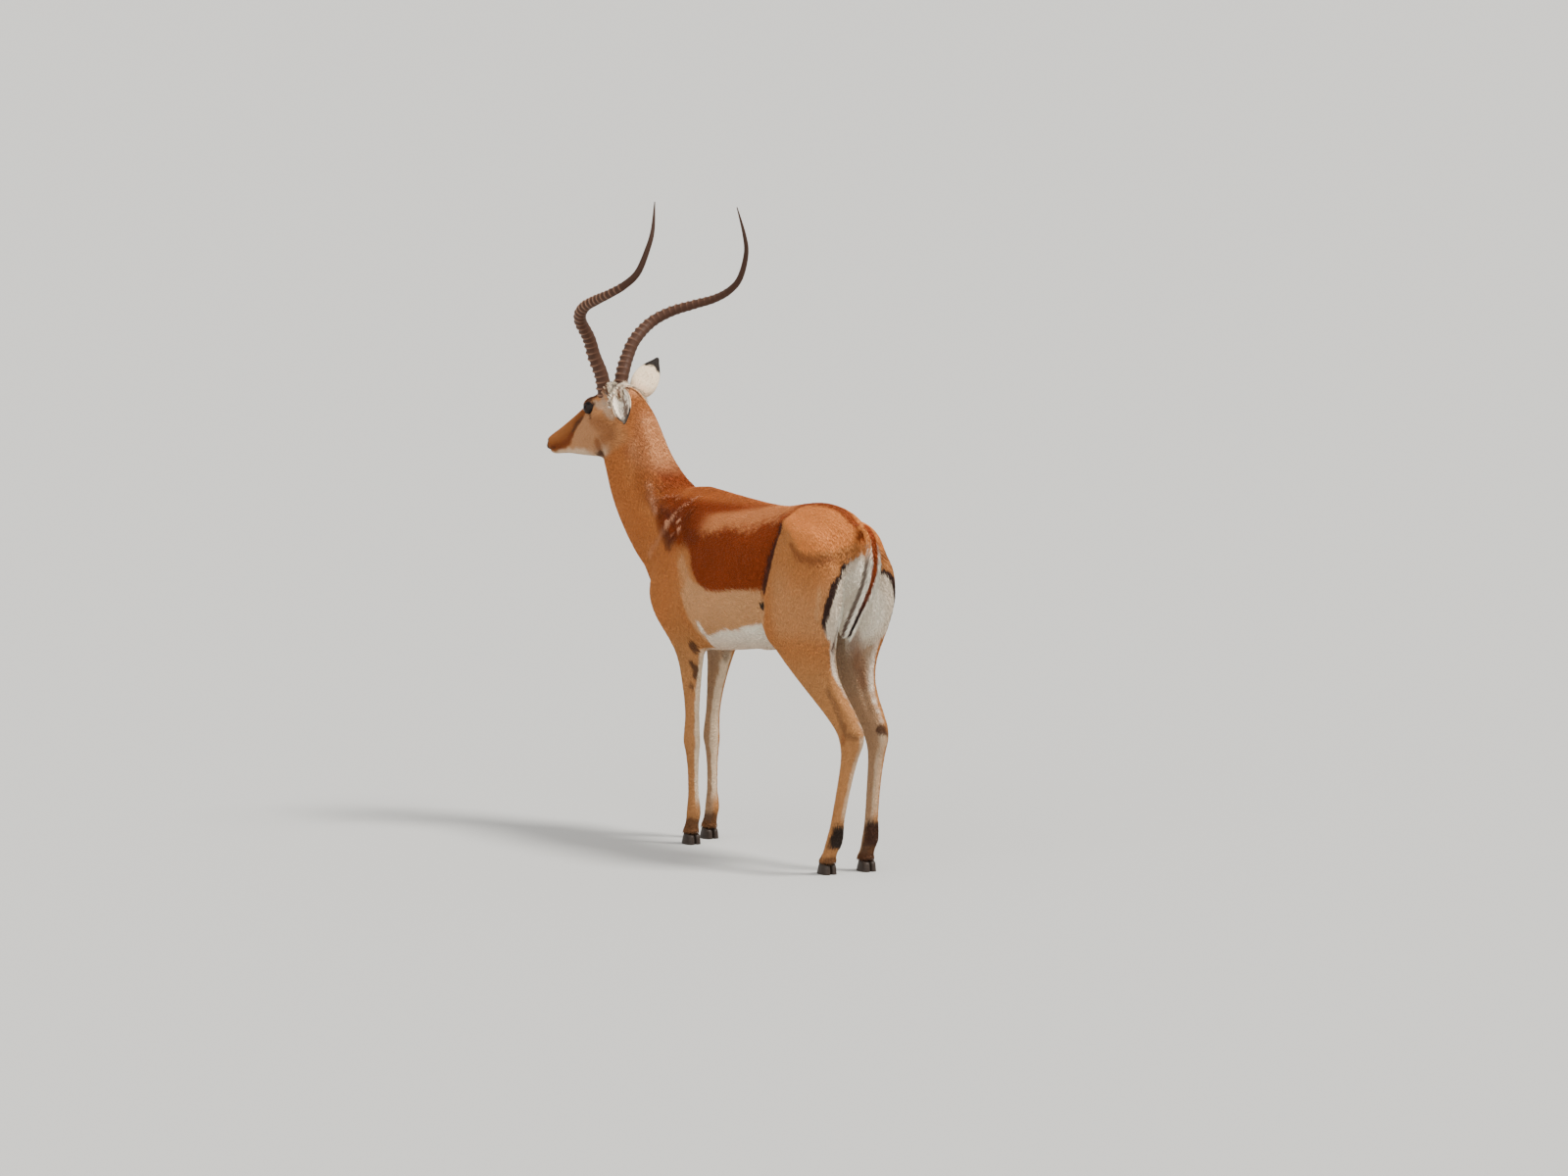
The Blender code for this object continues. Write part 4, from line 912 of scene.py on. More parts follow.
# How the coat lies on the body's left: place, way it points, then length, width and lift in millimetres
bodyLie = metres((
    (250, 30, 915, -1, 0.1, -0.05, 15, 3, 3), (50, 40, 903, -1, 0.12, -0.05, 14, 3, 2.6),
    (-150, 40, 900, -1, 0.15, -0.05, 14, 3, 2.6), (-330, 30, 912, -1, 0.15, -0.1, 14, 3, 2.6),
    (50, 130, 780, -1, 0, -0.4, 14, 3, 2.4), (-130, 125, 780, -1, 0, -0.4, 14, 3, 2.4),
    (60, 135, 660, -1, 0, -0.4, 14, 3, 2.4), (-100, 130, 660, -1, 0, -0.3, 14, 3, 2.4),
    (0, 100, 570, -1, 0, -0.2, 17, 3.2, 3.2), (-150, 85, 590, -1, 0, 0.1, 17, 3.2, 3.4),
    (50, 0, 510, -1, 0, 0, 18, 3.4, 3.6), (-150, 0, 550, -1, 0, 0.05, 18, 3.4, 4.2),
    (-215, 112, 720, -0.5, 0, -0.9, 13, 3, 2.8), (-200, 100, 650, -0.5, 0, -0.7, 13, 3, 2.8),
    (-300, 105, 850, -0.9, 0.1, -0.55, 14, 3, 2.4), (-420, 60, 860, -0.8, 0.2, -0.6, 15, 3, 2.6),
    (-340, 125, 740, -0.55, 0, -0.9, 13, 2.9, 2.4), (-440, 100, 740, -0.3, 0, -1, 12, 2.8, 2.4),
    (-320, 125, 640, -0.4, 0, -1, 12, 2.7, 2.3), (-470, 50, 780, -0.1, 0.25, -1, 13, 2.9, 3.2),
    (-478, 70, 690, 0, 0.1, -1, 13, 2.9, 3.2), (-455, 60, 600, 0, 0, -1, 12, 2.8, 2.8),
    (-400, 30, 620, -0.2, 0, -1, 13, 2.9, 2.8), (-380, 105, 530, -0.5, 0, -1, 10, 2.5, 2),
    (-470, 60, 430, -0.3, 0, -1, 8.5, 2.2, 1.8), (-510, 60, 350, 0, 0, -1, 7.5, 2, 1.7),
    (-480, 60, 230, 0.1, 0, -1, 6.5, 1.9, 1.4), (-450, 60, 120, 0.1, 0, -1, 7, 1.9, 1.6),
    (-430, 60, 50, 0.4, 0, -1, 7, 1.9, 1.7), (330, 80, 800, -0.6, 0, -1, 14, 3, 2.8),
    (270, 110, 720, -0.45, 0, -1, 13, 3, 2.4), (170, 115, 740, -0.8, 0, -0.7, 14, 3, 2.4),
    (240, 105, 620, -0.35, 0, -1, 11, 2.7, 2.2), (150, 85, 590, -0.6, 0, -0.8, 15, 2.9, 3.4),
    (210, 60, 480, -0.1, 0, -1, 9, 2.3, 1.8), (212, 50, 350, 0, 0, -1, 7.5, 2, 1.6),
    (212, 50, 200, 0, 0, -1, 6.2, 1.9, 1.4), (215, 50, 60, 0.3, 0, -1, 7, 1.9, 1.6),
    (395, 30, 690, -0.3, 0.2, -1, 14, 3, 3), (300, 20, 550, -1, 0, -0.3, 15, 3, 3.2),
    (180, 20, 520, -1, 0, -0.1, 16, 3.2, 3.4),
), 3)
# The same on the head, in its own frame (along, side, above)
headLie = metres((
    (285, 12, 8, -1, 0.1, 0.1, 2.4, 1.2, 0.5), (230, 0, 26, -1, 0, 0.1, 4.5, 1.6, 0.9),
    (160, 0, 42, -1, 0.05, 0.2, 5.5, 1.8, 1), (100, 10, 60, -1, 0.1, 0.2, 7.5, 2, 1.6),
    (50, 10, 68, -1, 0.2, 0.1, 9.5, 2.2, 2.6), (240, 25, -10, -1, 0, -0.15, 3.4, 1.4, 0.7),
    (180, 34, -20, -1, 0, -0.15, 5, 1.7, 0.9), (130, 40, -30, -1, 0, -0.3, 6, 1.9, 1.1),
    (80, 48, -40, -1, 0, -0.4, 8, 2.1, 1.5), (40, 46, -60, -1, 0, -0.5, 9.5, 2.3, 1.9),
    (105, 50, 55, -1, 0, 0.35, 4.5, 1.6, 1), (70, 52, 20, -1, 0, -0.1, 6.5, 1.9, 1.3),
    (20, 45, 20, -1, 0, -0.3, 10, 2.3, 2.4), (-20, 30, 20, -0.8, 0, -0.7, 12, 2.6, 2.6),
    (280, 10, -32, -1, 0, -0.1, 3.6, 1.4, 1), (200, 10, -65, -1, 0, 0, 5.5, 1.8, 1.4),
    (130, 10, -90, -0.8, 0, -0.5, 8, 2.2, 2), (90, 10, -105, -0.2, 0, -1, 9.5, 2.3, 2),
    (60, 20, -110, -0.1, 0, -1, 10, 2.4, 2),
), 3)
coatMake = {
    "tufts": 222000, "quickShare": 0.20, "pieceTufts": 32000, "patch": 0.003, "slim": 0.60, "flat": 0.55,
    "sink": 0.0007, "bend": 0.40, "hairLine": 0.0335, "swirl": 0.15, "jitter": 0.07, "sizeSpread": 0.20,
    "rootShade": 0.86, "tipLight": 1.06, "earBack": 5200, "earInside": 1500, "tailTufts": 8200,
    "crownLocks": 1000,
}


# Way, length, width and lift at each point, from the guides around it
def blendLie(points, guides):
    way, size = np.zeros((len(points), 3)), np.zeros((len(points), 3))
    total = np.zeros(len(points))
    for place, w, s in zip(guides[:, :3], unit(guides[:, 3:6]), guides[:, 6:]):
        share = 1 / (((points - place) ** 2).sum(1) + 0.0006) ** 2.2
        way += share[:, None] * w
        size += share[:, None] * s
        total += share
    return unit(way), size / total[:, None]


def lieOfCoat(co, normal):
    body, head = bodyCoords(co), headCoords(co)
    headShare, neckShare, _ = zones(co)
    sign = np.where(body[:, 1] < 0, -1.0, 1.0)
    way, size = blendLie(onLeft(body), bodyLie)
    way[:, 1] *= sign
    way = turned(way)
    frames = neckFrames(4)
    heights = np.array([c[0].z for c in frames])
    ups = np.array([c[4] for c in frames])
    neckUp = np.column_stack([np.interp(body[:, 2], heights, ups[:, k]) for k in range(3)])
    neckWay = unit(-neckUp + np.array((0, 0.30, -0.15)))
    neckSize = np.tile((12.0, 2.7, 1.9), (len(co), 1))
    neckSize[:, 0] -= 3.0 * ramp(body[:, 2], 0.95, 1.08)
    k = neckShare[:, None]
    way, size = way * (1 - k) + neckWay * k, size * (1 - k) + neckSize * k
    faceWay, faceSize = blendLie(onLeft(head), headLie)
    faceWay[:, 1] *= np.where(head[:, 1] < 0, -1.0, 1.0)
    faceWay = turned(faceWay) @ headAxes.T
    k = headShare[:, None]
    way, size = way * (1 - k) + faceWay * k, size * (1 - k) + faceSize * k
    way = way - normal * (way * normal).sum(1, keepdims=True)
    return unit(way), size * (1.0, coatMake["slim"], coatMake["flat"]) / 1000


# Which limb of the unwrap a place is on: 0 trunk with the tail's root, 1 neck, 2 head, 3 to 6 legs
def partOf(co):
    body = bodyCoords(co)
    headShare, neckShare, tailShare = zones(co)
    part = np.zeros(len(co), int)
    fore = (body[:, 2] < 0.55) & (body[:, 0] > 0.08)
    hind = (body[:, 2] < 0.64) & (body[:, 0] < -0.20)
    left = body[:, 1] > 0
    part[fore] = np.where(left[fore], 3, 4)
    part[hind] = np.where(left[hind], 5, 6)
    part[neckShare > 0.5] = 1
    part[headShare > 0.5] = 2
    part[tailShare > 0.5] = 0
    return part


# Each limb's rectangle in the unwrap: corner, width, height
unwrapPlots = ((0.02, 0.50, 0.46, 0.46), (0.52, 0.66, 0.22, 0.30), (0.76, 0.66, 0.22, 0.30),
               *((x, 0.02, 0.17, 0.44) for x in (0.02, 0.21, 0.40, 0.59)))


# Each limb rolled out flat: round it one way and along it the other
def unwrap(co, part):
    body, head = bodyCoords(co), headCoords(co)
    f, l, z = body.T
    uv = np.zeros((len(co), 2))
    neckMid = np.array([(c[0].z, *bodyCoords(np.array([c[0]]))[0][:2]) for c in neckFrames(4)])
    for k, (x, y, wide, tall) in enumerate(unwrapPlots):
        own = part == k
        if not own.any():
            continue
        if k == 0:
            turn, run = np.arctan2(l[own], z[own] - 0.70), (f[own] + 0.56) / 1.02
        elif k == 1:
            mid = [np.interp(z[own], neckMid[:, 0], neckMid[:, j]) for j in (1, 2)]
            turn, run = np.arctan2(l[own] - mid[1], mid[0] - f[own]), (z[own] - 0.64) / 0.55
        elif k == 2:
            turn, run = np.arctan2(head[own, 1], head[own, 2] + 0.02), (head[own, 0] + 0.06) / 0.37
        else:
            leg = stance[("foreLeft", "foreRight", "hindLeft", "hindRight")[k - 3]]
            rows = np.array(smoothRows(leg["rows"], 2))[::-1]
            shift = np.array([legShift(leg, h) for h in rows[:, 0]])
            mid = np.interp(z[own], rows[:, 0], (rows[:, 1] + rows[:, 2]) / 2 + shift)
            turn = np.arctan2(l[own] - leg["side"] * 0.055, mid - f[own])
            run = z[own] / 0.66
        uv[own, 0] = x + wide * (turn / (2 * math.pi) + 0.5)
        uv[own, 1] = y + tall * np.clip(run, 0, 1)
    return uv


# Closed slender tufts, sunk at the root and bent along the surface below them, as one mesh
def growTufts(name, root, way, normal, sizes, colour, place, hug=None):
    count = len(root)
    length, width, lift = sizes.T
    side = unit(np.cross(normal, way))
    mid = root + way * (length * coatMake["bend"])[:, None]
    tip = root + way * length[:, None]
    if hug is None:
        midAt, tipAt = mid + normal * (lift * 0.8)[:, None], tip + normal * lift[:, None]
    else:
        midAt, tipAt = mid.copy(), tip.copy()
        for k in range(count):
            spot, face, _, _ = hug.find_nearest(mid[k])
            midAt[k] = np.array(spot) + np.array(face) * lift[k] * 0.35
            spot, face, _, _ = hug.find_nearest(tip[k])
            tipAt[k] = np.array(spot) + np.array(face) * lift[k]
    half = (width / 2)[:, None]
    thick = (width * 0.34)[:, None]
    low = root - normal * coatMake["sink"]
    under = midAt - normal * thick * 0.3
    co = np.stack([low, under + side * half, under - side * half, midAt + normal * thick, tipAt], 1)
    co = co.reshape(-1, 3)
    pattern = np.array(((0, 1, 2), (0, 2, 3), (0, 3, 1), (4, 2, 1), (4, 3, 2), (4, 1, 3)))
    faces = (np.arange(count)[:, None, None] * 5 + pattern).reshape(-1, 3)
    mesh = bpy.data.meshes.new(name)
    mesh.vertices.add(len(co))
    mesh.vertices.foreach_set("co", co.ravel())
    mesh.loops.add(faces.size)
    mesh.loops.foreach_set("vertex_index", faces.ravel())
    mesh.polygons.add(len(faces))
    mesh.polygons.foreach_set("loop_start", np.arange(len(faces)) * 3)
    mesh.update(calc_edges=True)
    tone = np.array((coatMake["rootShade"], 1.0, 1.0, 1.0, coatMake["tipLight"]))
    own = 1 + coatMake["jitter"] * dice.normal(size=count)
    shade = np.clip(colour[:, None, :] * tone[None, :, None] * np.clip(own, 0.75, 1.25)[:, None, None],
                    0.002, 0.95)
    writeColour(mesh, shade.reshape(-1, 3))
    strand = np.zeros((count, 5, 3))
    strand[:, :, 0] = np.array((0.5, 0, 1, 0.5, 0.5))
    strand[:, :, 1] = np.array((0, 0.4, 0.4, 0.4, 1.0))
    strand[:, :, 2] = dice.uniform(0, 50, count)[:, None]
    writeVectors(mesh, "strand", strand)
    spread = np.array(((0.5, 0), (0, 0.5), (1, 0.5), (0.5, 0.6), (0.5, 1))) - 0.5
    patch = (place[:, None, :] + spread[None] * coatMake["patch"]).reshape(-1, 2)
    uvLayer = mesh.uv_layers.new(name="OFBake")
    uvLayer.data.foreach_set("uv", patch[faces.ravel()].ravel())
    mesh.shade_smooth()
    obj = bpy.data.objects.new(name, mesh)
    bpy.context.scene.collection.objects.link(obj)
    mesh.materials.append(coatMaterial)
    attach(obj, "root")
    return obj


# Places spread over the mesh's faces by area and weight, with the surface's normal
def scatter(mesh, count, weigh):
    mesh.calc_loop_triangles()
    tri = np.empty(len(mesh.loop_triangles) * 3, int)
    mesh.loop_triangles.foreach_get("vertices", tri)
    tri = tri.reshape(-1, 3)
    co, normals = readCo(mesh), readNormals(mesh)
    corners = co[tri]
    area = np.linalg.norm(np.cross(corners[:, 1] - corners[:, 0], corners[:, 2] - corners[:, 0]),
                          axis=1) / 2
    share = area * weigh(corners.mean(1), unit(normals[tri].mean(1)))
    total = np.cumsum(share)
    picks = np.searchsorted(total, (np.arange(count) + dice.uniform(size=count)) / count * total[-1]
                            * 0.999999)
    a, b = dice.uniform(size=count), dice.uniform(size=count)
    over = a + b > 1
    a[over], b[over] = 1 - a[over], 1 - b[over]
    bary = np.stack([1 - a - b, a, b], 1)[:, :, None]
    return (corners[picks] * bary).sum(1), unit((normals[tri[picks]] * bary).sum(1))


def newMaterial(name, rough, **fixed):
    mat = bpy.data.materials.new(name)
    mat.use_nodes = True
    shader = mat.node_tree.nodes["Principled BSDF"]
    shader.inputs["Roughness"].default_value = rough
    for socket, value in fixed.items():
        shader.inputs[socket.replace("_", " ")].default_value = value
    return mat, mat.node_tree, shader


def addNode(tree, kind, **values):
    node = tree.nodes.new(kind)
    for key, value in values.items():
        if key in node.inputs:
            node.inputs[key].default_value = value
        else:
            setattr(node, key, value)
    return node


def attributeNode(tree, name):
    return addNode(tree, "ShaderNodeAttribute", attribute_name=name)


def mapped(tree, source, scale):
    node = addNode(tree, "ShaderNodeMapping")
    node.inputs["Scale"].default_value = scale
    tree.links.new(source, node.inputs["Vector"])
    return node.outputs["Vector"]


def bumpFrom(tree, shader, height, strength, distance):
    bump = addNode(tree, "ShaderNodeBump", Strength=strength, Distance=distance)
    tree.links.new(height, bump.inputs["Height"])
    tree.links.new(bump.outputs["Normal"], shader.inputs["Normal"])


# Colour made darker and lighter by a 0..1 factor
def tinted(tree, colour, factor, low, high):
    span = addNode(tree, "ShaderNodeMapRange")
    span.inputs["To Min"].default_value, span.inputs["To Max"].default_value = low, high
    tree.links.new(factor, span.inputs["Value"])
    scale = addNode(tree, "ShaderNodeVectorMath", operation="SCALE")
    tree.links.new(colour, scale.inputs[0])
    tree.links.new(span.outputs["Result"], scale.inputs["Scale"])
    return scale.outputs["Vector"]


# Colour from the mesh, streaked and bumped by a noise stretched along one of its attributes
def streakedMaterial(name, rough, source, stretch, noise, span, bump, **fixed):
    mat, tree, shader = newMaterial(name, rough, **fixed)
    streaks = addNode(tree, "ShaderNodeTexNoise", **noise)
    tree.links.new(mapped(tree, attributeNode(tree, source).outputs["Vector"], stretch),
                   streaks.inputs["Vector"])
    colour = tinted(tree, attributeNode(tree, "coatColour").outputs["Color"], streaks.outputs["Fac"],
                    *span)
    tree.links.new(colour, shader.inputs["Base Color"])
    bumpFrom(tree, shader, streaks.outputs["Fac"], *bump)
    return mat


def makeHoofMaterial():
    mat, tree, shader = newMaterial("hoofHorn", 0.48, Specular_IOR_Level=0.25)
    place = addNode(tree, "ShaderNodeTexCoord").outputs["Object"]
    bands = addNode(tree, "ShaderNodeTexNoise", Scale=1.0, Detail=3.0)
    tree.links.new(mapped(tree, place, (90.0, 90.0, 700.0)), bands.inputs["Vector"])
    tone = addNode(tree, "ShaderNodeValToRGB")
    tone.color_ramp.elements[0].color = (0.008, 0.006, 0.005, 1)
    tone.color_ramp.elements[1].color = (0.050, 0.032, 0.022, 1)
    tree.links.new(bands.outputs["Fac"], tone.inputs["Fac"])
    tree.links.new(tone.outputs["Color"], shader.inputs["Base Color"])
    bumpFrom(tree, shader, bands.outputs["Fac"], 0.4, 0.0008)
    return mat


def makeEyeMaterial():
    mat, tree, shader = newMaterial("eyeGloss", 0.06, IOR=1.22)
    tree.links.new(attributeNode(tree, "coatColour").outputs["Color"], shader.inputs["Base Color"])
    return mat


coatMaterial = streakedMaterial("shortCoat", 0.60, "strand", (5.0, 0.6, 1.0),
                                {"Scale": 1.6, "Detail": 2.0}, (0.84, 1.16), (0.35, 0.0006),
                                Specular_IOR_Level=0.14, Sheen_Weight=0.03, Sheen_Roughness=0.4)
skinMaterial = streakedMaterial("skinUnderCoat", 0.66, "coatFlow", (900.0, 90.0, 900.0),
                                {"Scale": 1.0, "Detail": 3.0}, (0.82, 1.10), (0.5, 0.0010),
                                Specular_IOR_Level=0.14)

fleshNodes = ("trunk", "neck", "head", "tail", "front_leg_left", "front_leg_right", "hind_leg_left",
              "hind_leg_right", "ear_left", "ear_right")
skin = buildFlesh()
fuseFlesh(skin)
note("flesh fused")
sculpt(skin)
note("skin sculpted")

bodyCount = len(skin.data.vertices)
bm = bmesh.new()
bm.from_mesh(skin.data)
addLids(bm)
lidCount = len(bm.verts)
addEars(bm)
bmesh.ops.recalc_face_normals(bm, faces=bm.faces)
bm.to_mesh(skin.data)
bm.free()
skin.data.shade_smooth()
skin.data.materials.append(skinMaterial)
skinCo, skinNormals = readCo(skin.data), readNormals(skin.data)
skinColour = paint(skinCo, skinNormals)
skinColour[bodyCount:lidCount] = hues["black"] * 1.4
earSteps, earSpans = earShape["steps"] + 1, earShape["spans"]
for k, name in enumerate(("left", "right")):
    start = lidCount + k * earSteps * 2 * earSpans
    t = np.repeat(np.arange(earSteps) / (earSteps - 1), 2 * earSpans)
    ringTurn = np.tile(np.arange(2 * earSpans), earSteps)
    inner = (ringTurn >= earSpans).astype(float)
    u = np.where(inner > 0, 1 - 2 * (ringTurn - earSpans + 0.5) / earSpans,
                 -1 + 2 * (ringTurn + 0.5) / earSpans)
    own = slice(start, start + len(t))
    skinColour[own] = paintEar(t, u, inner, wander(skinCo[own], 0.02)) * 0.85
# the nostrils darkened as painted shade in their hollows
nostrilShade = np.exp(-nearPath(onLeft(headCoords(skinCo)), ((296.5, 8.8, -3.5, 4), (290, 14.5, 1, 3.6))) ** 4)
skinColour *= (1 - 0.75 * nostrilShade)[:, None]
writeColour(skin.data, skinColour * 0.92)
lie, _ = lieOfCoat(skinCo, skinNormals)
flow = np.stack([(skinCo * unit(np.cross(skinNormals, lie))).sum(1), (skinCo * lie).sum(1),
                 wander(skinCo, 0.2)], 1)
writeVectors(skin.data, "coatFlow", flow)
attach(skin, "root")
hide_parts(*fleshNodes)
note(f"skin of {len(skin.data.polygons)} faces")

flesh = skin.data.copy()            # the skin without lids and ears, for placing tufts
fleshBm = bmesh.new()
fleshBm.from_mesh(flesh)
fleshBm.verts.ensure_lookup_table()
bmesh.ops.delete(fleshBm, geom=fleshBm.verts[bodyCount:], context="VERTS")
fleshTree = BVHTree.FromBMesh(fleshBm)
fleshBm.to_mesh(flesh)
fleshBm.free()


# Tufts for each area, so that every place is covered alike
def tuftWeight(co, normal):
    _, size = lieOfCoat(co, normal)
    headShare, _, tailShare = zones(co)
    head = headCoords(co)
    weight = (0.0030 * 0.014) / (size[:, 0] * size[:, 1]) ** 0.85 * 0.36
    weight /= np.median(weight)
    bare = (headShare > 0.5) & (head[:, 0] > 0.286) & (head[:, 2] > -0.016)
    for sign in (1, -1):
        _, _, reach, w, slit = aroundEye(co, sign)
        bare |= (w > 0) & (slit < 1.30) & (reach < 0.03)
    return weight * ~bare * (co[:, 2] >= coatMake["hairLine"]) * (tailShare < 0.5)


def dressBody():
    count = int(coatMake["tufts"] * (1))
    root, normal = scatter(flesh, count, tuftWeight)
    way, size = lieOfCoat(root, normal)
    limb = partOf(root)
    side = np.cross(normal, way)
    turn = coatMake["swirl"] * wander(root, 0.055, 2.2) + 0.12 * dice.normal(size=count)
    way = unit(way + side * turn[:, None])
    size = size * np.clip(1 + coatMake["sizeSpread"] * dice.normal(size=count), 0.55, 1.6)[:, None]
    body = bodyCoords(root)
    tuft = (body[:, 2] > 0.076) & (body[:, 2] < 0.138) & (body[:, 0] < -0.3) & (normal[:, 1] > -0.05)
    size[tuft] *= (1.9, 1.2, 2.2)
    colour = paint(root, normal)
    place = unwrap(root, limb)
    names = ("Trunk", "Neck", "Head", "ForeLeft", "ForeRight", "HindLeft", "HindRight")
    for k, name in enumerate(names):
        picks = np.flatnonzero(limb == k)
        picks = picks[np.argsort(body[picks, 0])]
        pieces = max(1, math.ceil(len(picks) / coatMake["pieceTufts"]))
        for i, some in enumerate(np.array_split(picks, pieces)):
            label = f"coat{name}{i + 1 if pieces > 1 else ''}"
            growTufts(label, *(part[some] for part in (root, way, normal, size, colour, place)),
                      fleshTree)
    note(f"{count} tufts on the body")
    fringe = np.flatnonzero((root[:, 2] > 0.036) & (root[:, 2] < 0.044))
    hang = way[fringe] * (0.3, 0.3, 0) + np.array((0, 0, -1.0))
    way[fringe] = unit(hang + 0.10 * normal[fringe] * (1, 1, 0))
    size[fringe] = size[fringe] * (0, 1.25, 0) + (0.0115, 0, 0.0010)
    growTufts("coatCoronets", *(part[fringe] for part in (root, way, normal, size, colour, place)))


# Long hair fanned out from the tail's core to both sides and down
def dressTail():
    count = int(coatMake["tailTufts"] * (1))
    rows = np.array(smoothRows(tailRows, 6))
    share = (np.arange(count) + dice.uniform(size=count)) / count
    index = 6 + share ** 0.85 * (len(rows) - 14)
    row = np.stack([np.interp(index, np.arange(len(rows)), rows[:, k]) for k in range(5)], 1)
    onward = np.minimum(index + 5, len(rows) - 1)
    ahead = np.stack([np.interp(onward, np.arange(len(rows)), rows[:, k]) for k in range(3)], 1)
    down = unit(turned(ahead - row[:, :3]))
    turn = dice.uniform(0, 2 * math.pi, count)
    across = unit(np.array((1.0, 0.0, 0.0)) - down * down[:, :1])
    rear = np.cross(across, down)
    c, s = np.cos(turn)[:, None], np.sin(turn)[:, None]
    out = across * c + rear * s * 0.55
    core = skinShape["tailCore"]
    sweep = skinShape["tailSweep"] * ramp(share, 0.45, 1.0)
    centre = np.column_stack([row[:, 1] + sweep - pose["bodyOrigin"][1],
                              pose["bodyOrigin"][0] - row[:, 0], row[:, 2]])
    root = centre + across * c * row[:, 4:5] * core + rear * s * row[:, 3:4] * 0.6
    normal = unit(out - down * (out * down).sum(1, keepdims=True))
    fan = np.interp(share, (0.0, 0.2, 0.6, 1.0), (0.10, 0.40, 0.34, 0.18))
    lean = normal * (fan * np.abs(np.cos(turn)) + 0.05)[:, None]
    way = unit(down + lean + 0.06 * dice.normal(size=(count, 3))
               + np.column_stack([0.28 * ramp(share, 0.45, 0.8), 0 * share, 0 * share]))
    normal = unit(normal - way * (way * normal).sum(1, keepdims=True))
    length = np.interp(share, (0.0, 0.15, 0.4, 0.85, 1.0), (0.012, 0.024, 0.036, 0.034, 0.030))
    beside = np.abs(np.cos(turn))
    length *= dice.uniform(0.45, 1.15, count)
    length *= 0.72 + 0.28 * beside
    sizes = np.column_stack([length, np.full(count, 0.0026), np.full(count, 0.0010)])
    down01, _, _ = tailLocal(bodyCoords(root))
    middle = np.interp(down01, (0.0, 0.10, 0.22, 0.45, 0.80, 1.0), (0.70, 0.56, 0.48, 0.40, 0.32, 0.28))
    band = ramp(middle - beside, -0.12, 0.12) * (np.sin(turn) > -0.1)
    colour = np.tile(hues["haunch"], (count, 1))
    lay(colour, ramp(down01 + 0.03 * dice.normal(size=count), 0.08, 0.26), "white")
    lay(colour, band, "rufous")
    lay(colour, band * ramp(down01, 0.32, 0.75), "black")
    # painted shadow along the tail's left edge, where it lies against the buttock
    lay(colour, ramp(np.cos(turn), 0.78, 0.90) * ramp(down01, 0.14, 0.24) * (0.72 + 0.28 * down01),
        "umber")
    place = np.column_stack([0.90 + 0.08 * turn / (2 * math.pi), 0.02 + 0.44 * share])
    growTufts("coatTail", root, way, normal, sizes, colour, place)


def dressEars():
    for name in ("left", "right"):
        ear = earShape[name]
        for inner, count in ((False, coatMake["earBack"]), (True, coatMake["earInside"])):
            t = dice.uniform(0.02, 0.62 if inner else 0.96, count)
            u = dice.uniform(-0.96, 0.96, count)
            rim = (dice.uniform(size=count) < (0.0 if inner else 0.22)) & (t < 0.80)
            u = np.where(rim, np.sign(u) * dice.uniform(0.95, 1.0, count), u)
            if inner:
                outward = dice.uniform(size=count) < 0.6
                u = np.where(outward, np.sign(u) * dice.uniform(0.55, 0.97, count), u)
            root = np.array([earPoint(ear, a, b, inner) for a, b in zip(t, u)])
            ahead = np.array([earPoint(ear, min(a + 0.02, 1), b, inner) for a, b in zip(t, u)])
            aside = np.array([earPoint(ear, a, b + 0.02, inner) for a, b in zip(t, u)])
            way, across = unit(ahead - root), unit(aside - root)
            normal = unit(np.cross(way, across))
            middle = np.array([earPoint(ear, a, b, not inner) for a, b in zip(t, u)])
            normal *= np.sign(((root - middle) * normal).sum(1))[:, None]
            if inner:
                length, width, lift = dice.uniform(0.016, 0.026, count), 0.0019, 0.0022
                way = unit(way + across * (-0.16 * np.sign(u))[:, None]
                           * dice.uniform(0.0, 1.0, count)[:, None])
            else:
                length, width, lift = dice.uniform(0.009, 0.014, count) * (1 - 0.5 * t), 0.0026, 0.0007
                way = unit(way + across * (rim * np.sign(u) * 0.22)[:, None])
            sizes = np.column_stack([length, np.full(count, width), np.full(count, lift)])
            colour = paintEar(t, u, np.full(count, float(inner)), wander(root, 0.02))
            x = 0.90 + (0.05 if name == "left" else 0.0) + 0.04 * (u + 1) / 2
            place = np.column_stack([x, 0.50 + 0.22 * t + (0.24 if inner else 0.0)])
            label = f"coatEar{name.title()}{'Inside' if inner else 'Back'}"
            growTufts(label, root, way, normal, sizes, colour, place)


# Ruffled locks where the neck meets the shoulder: path of forward, height in millimetres, reach,
# strength of the painted highlight, count
lockPaths = (
    (((356, 918), (346, 892), (330, 866), (321, 846)), 0.009, 0.55, 170),
    (((318, 884), (292, 890), (266, 884), (248, 886)), 0.008, 0.55, 150),
    (((257, 830), (250, 822)), 0.009, 1, 100), (((224, 796), (214, 802)), 0.007, 0.5, 60),
    (((198, 812), (192, 820)), 0.007, 0.95, 80), (((209, 832), (202, 838)), 0.008, 0.95, 90),
    (((236, 846), (226, 860), (212, 870), (196, 880), (176, 896)), 0.011, 0.72, 260),
    (((300, 846), (284, 856), (274, 868)), 0.008, 0.3, 90),
    (((182, 850), (168, 862), (160, 874)), 0.008, 0.3, 90), (((334, 916), (322, 905)), 0.008, 0.4, 60),
)
lockMake = {"length": 0.0130, "width": 0.0026, "stand": 0.0042, "ruffle": 0.85}
